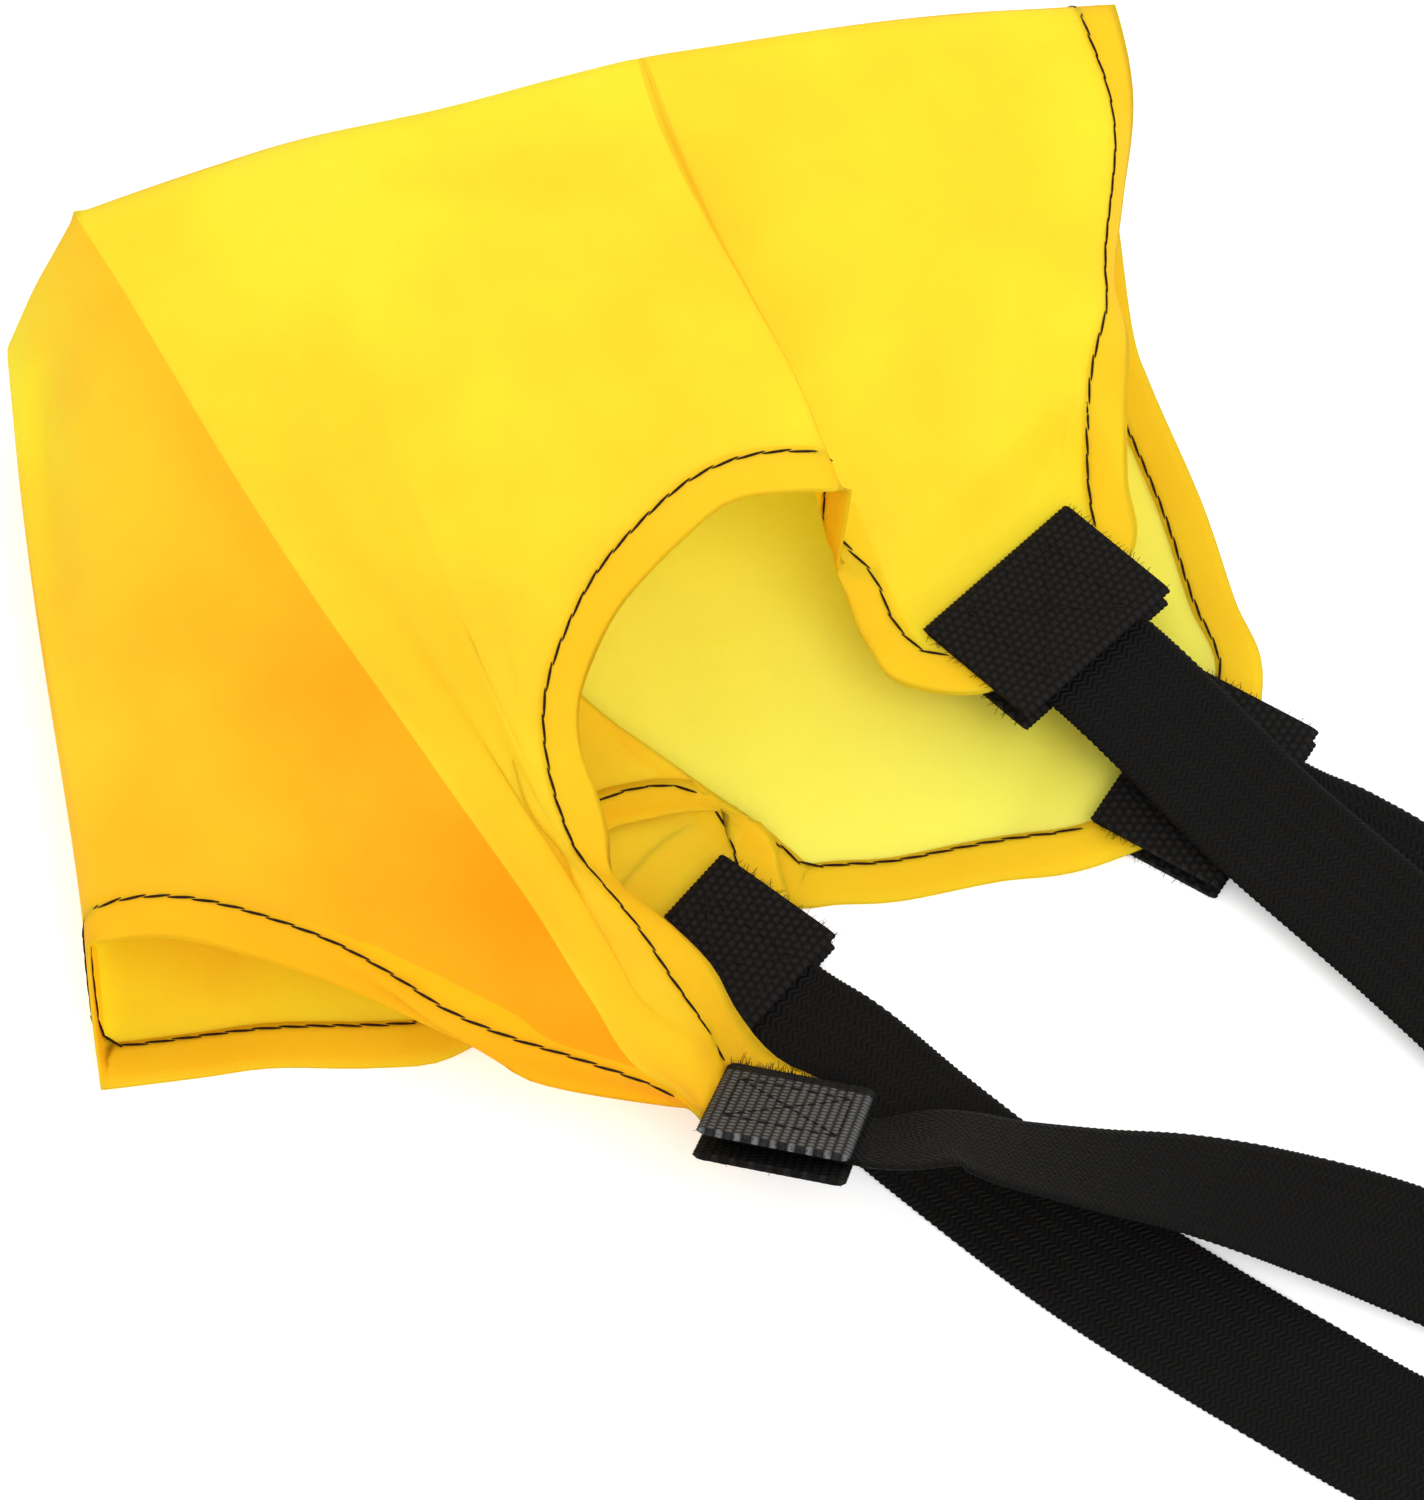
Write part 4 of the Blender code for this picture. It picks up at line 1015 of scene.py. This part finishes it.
strap = {
    "width": 25 * mm,
    "thickness": 1.3 * mm,
    "gap": 0.3 * mm,
    "ownGap": 0.5 * mm,
    "wales": 17,
    "groove": 0.1 * mm,
    "scallop": 0.12 * mm,
    "riserStep": 0.75 * mm,
    "patchStep": 0.5 * mm,
    "patchRelief": 0.035 * mm,
    "hankStep": 1.5 * mm,
    "inside": 0.36,
    "outside": 2 * mm,
}
layer = strap["thickness"] + strap["gap"]
patchSeat = cloth["middleLift"] + strap["gap"] + strap["thickness"] / 2
patchHeights = {"outer": patchSeat, "inner": -patchSeat - layer}
ownLayer = strap["thickness"] + strap["ownGap"]
strapSection = webbingSection(strap["width"], strap["thickness"], strap["wales"], strap["groove"], 0.7)
patchSection = webbingSection(cloth["patchAlong"], strap["thickness"], strap["wales"],
                              strap["patchRelief"], 0.75)
junction = {"x": 246 * mm, "y": -104 * mm, "length": 34 * mm}
stackStart = junction["x"] - junction["length"] / 2
stackEnd = junction["x"] + junction["length"] / 2


def riceGrain(x, distance, z):
    wale = math.floor(x / webbing["wale"])
    turns = distance / webbing["grainLength"] + 0.5 * (wale % 2)
    return math.copysign(strap["patchRelief"], z) * math.sin(2 * math.pi * turns)


def buildPatch(letter, side):
    middle, along, across, out = cornerFrame(letter)
    start = middle + out * patchHeights[side] - across * (cloth["patchAcross"] / 2)
    end = start + across * cloth["patchAcross"]
    bm = bmesh.new()
    route = makeRoute([start, end], [along, along], strap["patchStep"])
    sweep(bm, patchSection, route, strap["groove"], riceGrain)
    # the outer patch at corner D gets the painted sheen
    finish = sheenPatchMat if (letter, side) == ("d", "outer") else patchMat
    finishPiece(f"patch_{side}_{letter}", bm, finish, "chute", f"corner_patch_{side}_{letter}")


risers = {
    "a": {"level": 3, "route": [(82, 42, 6.4, 0), (97, 26, 4.6, 0), (120, 3, 3.6, 0), (150, -30, 3, 0),
                                (182, -66, 3, 0), (208, -90, 3, 0)]},
    "b": {"level": 2, "route": [(110, 25, 1.0, 0), (124, 15, 0.7, 0), (152, -12, 1.4, 0),
                                (180, -46, 2, 0), (206, -81, 2, 0)]},
    "c": {"level": 0, "route": [(22, -16.4, 1.0, 0), (38.4, -30.9, 0.0, 0), (65, -53.4, 0, 0),
                                (96, -74.8, 0, 0), (120, -89, 0, 0), (160, -103, 0, 0),
                                (200, -106, 0, 0)]},
    "d": {"level": 1, "route": [(39.5, -37.8, 9.3, 42), (52.3, -39.4, 7.4, 37), (66.4, -41, 5.8, 30),
                                (81, -42.4, 4.3, 22), (98, -46, 2.7, 13), (117, -52.6, 1.8, 5),
                                (150, -67.5, 1.2, 0), (182, -85, 1, 0), (210, -98.5, 1, 0)]},
}


def layerHeight(layers):
    return strap["thickness"] / 2 + layers * layer


def layStrap(name, node, path, sides, step):
    bm = bmesh.new()
    sweep(bm, strapSection, makeRoute(path, sides, step), strap["scallop"])
    finishPiece(name, bm, strapMat, "chute", node)


def buildRiser(letter):
    middle, along, across, out = cornerFrame(letter)
    root = middle - out * patchSeat
    reachIn = cloth["patchAlong"] * strap["inside"]
    reachOut = cloth["patchAlong"] * 0.5 + strap["outside"]
    points = [root - along * reachIn, root + along * reachOut]
    rolls = [corners[letter]["roll"]] * 2
    for x, y, layers, roll in risers[letter]["route"]:
        points.append(Vector((x * mm, y * mm, layerHeight(layers))))
        rolls.append(roll)
    for x in (stackStart, stackEnd):
        points.append(Vector((x, junction["y"], layerHeight(risers[letter]["level"]))))
        rolls.append(0)
    spans, perSpan = len(points) - 1, 24
    path, turned = [], []
    for k in range(spans * perSpan + 1):
        t = k / perSpan
        if 0 < t < 1 or spans - 1 < t < spans:
            continue
        i = min(int(t), spans - 1)
        path.append(points[i].lerp(points[i + 1], t - i) if i in (0, spans - 1) else curvePoint(points, t))
        turned.append(math.radians(rolls[i] + (rolls[i + 1] - rolls[i]) * (t - i)))
    sides = []
    for i, roll in enumerate(turned):
        run = (path[min(i + 1, len(path) - 1)] - path[max(i - 1, 0)]).normalized()
        sides.append(Vector((run.y, -run.x, 0)).normalized() * math.cos(roll) + up * math.sin(roll))
    sides[0] = sides[1] = across
    layStrap(f"riser_{letter}", f"riser_strap_{letter}", path, sides, strap["riserStep"])


sewing = {
    "pitch": 2.6 * mm,
    "radius": 0.24 * mm,
    "clear": 0.02 * mm,
    "lowest": 0.3 * mm,
    "boxAlong": 9.6 * mm,
    "boxAcross": 10.2 * mm,
    "strapAcross": 9.4 * mm,
    "junctionAlong": 13 * mm,
    "frayPerEnd": 80,
    "frayLength": (0.5 * mm, 2.4 * mm),
    "frayRadius": 0.07 * mm,
    "fraySpread": 0.7,
    "frayTilt": 0.35,
    "frayFloor": 0.15 * mm,
    "fringeLift": 1.2,
    "fringeLength": 1.2,
}


def sewLine(bm, start, end, normal):
    count = max(2, round((end - start).length / sewing["pitch"]))
    run = end - start
    length = run.length / count * 0.8
    for k in range(count):
        addGrain(bm, start + run * ((k + 0.5) / count), run, normal, length, sewing["radius"])


def sewBox(bm, middle, along, across, normal, halfAlong, halfAcross):
    # a rectangle with a cross in it, as webbing joints are sewn
    spots = [middle + along * (halfAlong * a) + across * (halfAcross * b)
             for a, b in ((-1, -1), (1, -1), (1, 1), (-1, 1))]
    for a, b in ((0, 1), (1, 2), (2, 3), (3, 0), (0, 2), (1, 3)):
        sewLine(bm, spots[a], spots[b], normal)


def buildPatchSewing():
    bm = bmesh.new()
    for letter in "abcd":
        middle, along, across, out = cornerFrame(letter)
        reach = patchSeat + strap["thickness"] / 2 + sewing["clear"]
        for sign, height in ((1, reach), (-1, reach + layer)):
            if middle.z + out.z * sign * height > sewing["lowest"]:
                sewBox(bm, middle + out * (sign * height), along, across, out * sign,
                       sewing["boxAlong"], sewing["boxAcross"])
    finishPiece("patchSewing", bm, sewingMat, "chute")


def buildFrays():
    # loose yarn ends where each patch was cut, and a raised fringe along the back of corner D
    bm = bmesh.new()
    for letter in "abcd":
        middle, along, across, out = cornerFrame(letter)
        for height in patchHeights.values():
            for end in (-1, 1):
                fringe = letter == "d" and end == -1 and height > 0
                for _ in range(sewing["frayPerEnd"] * (2 if fringe else 1)):
                    root = middle + along * random.uniform(-0.49, 0.49) * cloth["patchAlong"]
                    root += out * (height + random.uniform(-0.45, 0.45) * strap["thickness"])
                    root += across * (end * (cloth["patchAcross"] / 2 - 0.3 * mm))
                    way = across * end + along * random.uniform(-sewing["fraySpread"], sewing["fraySpread"])
                    way += out * random.uniform(-sewing["frayTilt"], sewing["frayTilt"])
                    length = random.uniform(*sewing["frayLength"]) * random.uniform(0.4, 1.0)
                    if fringe:
                        way += out * sewing["fringeLift"]
                        length *= sewing["fringeLength"]
                    turn = way.normalized().to_track_quat("Z", "Y").to_matrix().to_4x4()
                    tip = root + way.normalized() * length
                    if min(root.z, tip.z) < sewing["frayFloor"]:
                        continue
                    place = Matrix.Translation((root + tip) / 2) @ turn
                    bmesh.ops.create_cone(bm, segments=4, radius1=sewing["frayRadius"],
                                          radius2=sewing["frayRadius"] * 0.4, depth=length, matrix=place)
    finishPiece("patchFrays", bm, patchMat, "chute")


random.seed(7)
for letter in "abcd":
    buildPatch(letter, "outer")
    buildPatch(letter, "inner")
    buildRiser(letter)
buildPatchSewing()
buildFrays()
print("stage: patches and risers")

# Tow strap and belt
hank = {
    "pitch": 2.4 * mm,
    "tieThickness": 1.4 * mm,
    "towLead": 26 * mm,
    "run": 140 * mm,
    "runs": 7,
    "towSewn": 22 * mm,
    "slope": 10 * mm,
    "fit": 0.5 * mm,
    "beltPass": 40 * mm,
    "socketLead": 70 * mm,
    "plugLead": 85 * mm,
    "turnedEnd": 32 * mm,
    "foldSteps": 10,
    "turnSteps": 14,
}
hankBase = hank["tieThickness"] + strap["gap"] + strap["thickness"] / 2
towStart = stackEnd + hank["towLead"]
towEnd = towStart + hank["run"]
beltX = towEnd + hank["slope"] + hank["towSewn"] + strap["width"] / 2 + 2 * hank["fit"]
beltStart = junction["y"] + hank["beltPass"]
socketBarY = junction["y"] - hank["socketLead"]
plugBarY = beltStart + hank["run"] + hank["plugLead"]
keeper = {"wall": 1.8 * mm}
buckle = {"height": 9 * mm, "bar": 1.5 * mm}


def halfTurn(centre, radius, heading, rising, steps):
    points = []
    for k in range(1, steps):
        angle = math.pi * k / steps
        height = -math.cos(angle) if rising else math.cos(angle)
        points.append(centre + heading * (radius * math.sin(angle)) + up * (radius * height))
    return points


def zigzag(start, heading, rising):
    radius = hank["pitch"] / 2
    near = start + heading * radius
    far = start + heading * (hank["run"] - radius)
    path = []
    beside = heading.cross(up)
    sways = [Vector((0, 0, 0))]
    for _ in range(hank["runs"] - 2):
        sways.append(beside * random.uniform(-0.4, 0.4) * mm + heading * random.uniform(-1.2, 1.2) * mm)
    sways.append(Vector((0, 0, 0)))
    for k in range(hank["runs"]):
        lift = up * (hank["pitch"] * k * (1 if rising else -1))
        ends = (near, far) if k % 2 == 0 else (far, near)
        way = heading if k % 2 == 0 else -heading
        path += [ends[0] + lift + sways[k], ends[1] + lift + sways[k]]
        if k < hank["runs"] - 1:
            middle = ends[1] + lift + up * (radius if rising else -radius)
            turn = halfTurn(middle, radius, way, rising, hank["foldSteps"])
            path += [point + sways[k].lerp(sways[k + 1], (i + 1) / hank["foldSteps"])
                     for i, point in enumerate(turn)]
    return path


def buildTowStrap():
    forward, beside = Vector((1, 0, 0)), Vector((0, 1, 0))
    low = layerHeight(0)
    y = junction["y"]
    path = [Vector((stackStart, y, layerHeight(4))), Vector((stackEnd, y, layerHeight(4)))]
    top = hankBase + (hank["runs"] - 1) * hank["pitch"]
    path += zigzag(Vector((towStart, y, top)), forward, False)
    loopHalf = strap["width"] / 2 + hank["fit"]
    path.append(Vector((towEnd + hank["slope"] / 2, y, low)))
    turnMiddle = Vector((beltX + loopHalf, y, low + layer))
    path.append(turnMiddle - up * layer)
    path += halfTurn(turnMiddle, layer, forward, True, hank["turnSteps"])
    path.append(turnMiddle + up * layer)
    path.append(Vector((beltX - loopHalf, y, low + 2 * layer)))
    sewnStart = beltX - loopHalf - hank["slope"] / 2
    path.append(Vector((sewnStart, y, low + ownLayer)))
    path.append(Vector((sewnStart - hank["towSewn"], y, low + ownLayer)))
    sewn = bmesh.new()
    top = layerHeight(4) + strap["thickness"] / 2
    halfAcross, inset = sewing["strapAcross"], sewing["pitch"]
    sewBox(sewn, Vector((junction["x"], y, top)), forward, beside, up, sewing["junctionAlong"], halfAcross)
    top = low + ownLayer + strap["thickness"] / 2
    middle = Vector((sewnStart - hank["towSewn"] / 2, y, top))
    sewBox(sewn, middle, forward, beside, up, hank["towSewn"] / 2 - inset, halfAcross)
    length = hank["turnedEnd"] - hank["slope"]
    middle = Vector((beltX, socketBarY + hank["slope"] + length / 2, top))
    sewBox(sewn, middle, beside, forward, up, length / 2 - inset, halfAcross)
    finishPiece("strapSewing", sewn, sewingMat, "chute")
    layStrap("towStrap", "tow_strap", path, [beside] * len(path), strap["hankStep"])


def barTurn(barY, heading, low):
    radius = buckle["bar"] + strap["gap"] + strap["thickness"] / 2
    bar = Vector((beltX, barY, buckle["height"] / 2))
    path = [
        Vector((beltX, barY - heading * hank["turnedEnd"], low)),
        Vector((beltX, barY - heading * hank["slope"], low)),
        bar - up * radius,
    ]
    path += halfTurn(bar, radius, Vector((0, heading, 0)), True, hank["turnSteps"])
    path += [
        bar + up * radius,
        Vector((beltX, barY - heading * hank["slope"], low + ownLayer)),
        Vector((beltX, barY - heading * (hank["turnedEnd"] + hank["fit"]), low + ownLayer)),
    ]
    return path


def buildBelt():
    path = barTurn(socketBarY, -1, layerHeight(0))
    floorY = socketBarY + hank["turnedEnd"] + hank["slope"]
    loopEdge = strap["width"] / 2 + hank["fit"]
    y = junction["y"]
    path += [
        Vector((beltX, floorY, layerHeight(0))),
        Vector((beltX, y - loopEdge - hank["slope"] / 2, layerHeight(0))),
        Vector((beltX, y - loopEdge, layerHeight(1))),
        Vector((beltX, y + loopEdge, layerHeight(1))),
    ]
    path += zigzag(Vector((beltX, beltStart, hankBase)), Vector((0, 1, 0)), True)
    overKeeper = keeper["wall"] + strap["gap"] + strap["thickness"] / 2
    path += barTurn(plugBarY, 1, overKeeper)[::-1]
    layStrap("belt", "belt_webbing", path, [Vector((1, 0, 0))] * len(path), strap["hankStep"])


buildTowStrap()
buildBelt()
print("stage: tow strap and belt")

# Elastic rings, keeper and buckle: the frame's shapes with rounded edges and moulded detail
moulding = {
    "edge": 0.35 * mm,
    "elasticEdge": 0.4 * mm,
    "ribEdge": 0.2 * mm,
    "ribHeight": 0.3 * mm,
    "ribWidth": 0.9 * mm,
    "ribPitch": 1.9 * mm,
    "ribSunk": 0.05 * mm,
    "ribInset": {"buckle_socket": 8 * mm, "buckle_plug": 7 * mm},
    "segments": 3,
    "sharpFrom": 32,
}


def roundedCopy(name, node, mat, body, edgeWidth):
    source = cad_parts[node]
    bm = bmesh.new()
    bm.from_mesh(source.data)
    bmesh.ops.remove_doubles(bm, verts=bm.verts, dist=0.01 * mm)
    bmesh.ops.recalc_face_normals(bm, faces=bm.faces)
    flat = [e for e in bm.edges if len(e.link_faces) == 2 and e.calc_face_angle(0) < 0.02]
    bmesh.ops.dissolve_edges(bm, edges=flat, use_verts=True)
    piece = finishPiece(name, bm, mat, body, node)
    rounding = piece.modifiers.new("roundedEdges", "BEVEL")
    rounding.width = edgeWidth
    rounding.segments = moulding["segments"]
    rounding.limit_method = "ANGLE"
    rounding.angle_limit = math.radians(moulding["sharpFrom"])
    weighted = piece.modifiers.new("evenShading", "WEIGHTED_NORMAL")
    weighted.keep_sharp = True


def gripRibs(name, body, node, zone):
    # low raised ribs side by side along y, on the flat top face of a buckle half
    low, high = (Vector(corner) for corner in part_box(node))
    front, back = ((high.y if lead < 0 else low.y) + lead for lead in zone)
    width = high.x - low.x - 2 * moulding["ribInset"][node]
    count = int((back - front) / moulding["ribPitch"])
    bm = bmesh.new()
    for k in range(count):
        y = front + (k + 0.5) / count * (back - front)
        middle = Vector(((low.x + high.x) / 2, y, high.z - moulding["ribSunk"]))
        size = (width, moulding["ribWidth"], 2 * moulding["ribHeight"])
        place = Matrix.Translation(middle) @ Matrix.Diagonal((*size, 1))
        made = bmesh.ops.create_cube(bm, size=1.0, matrix=place)
        edges = {e for v in made["verts"] for e in v.link_edges}
        bmesh.ops.bevel(bm, geom=list(edges), offset=moulding["ribEdge"], offset_type="OFFSET",
                        segments=2, profile=0.5, affect="EDGES", material=-1)
    finishPiece(name, bm, plasticMat, body)


roundedCopy("towElastic", "tow_tie", towElasticMat, "chute", moulding["elasticEdge"])
roundedCopy("beltElastic", "belt_tie", beltElasticMat, "chute", moulding["elasticEdge"])
mouldedPieces = [
    ("keeperLoop", "belt_keeper", "keeper"),
    ("socketShell", "buckle_socket", "socket"),
    ("plugBody", "buckle_plug", "plug"),
    ("latchLeft", "buckle_latch_left", "latch_left"),
    ("latchRight", "buckle_latch_right", "latch_right"),
]
for name, node, body in mouldedPieces:
    roundedCopy(name, node, plasticMat, body, moulding["edge"])
gripRibs("socketRibs", "socket", "buckle_socket", (-13 * mm, -6 * mm))
gripRibs("plugRibs", "plug", "buckle_plug", (9 * mm, 14.5 * mm))
print("stage: elastic, keeper and buckle")
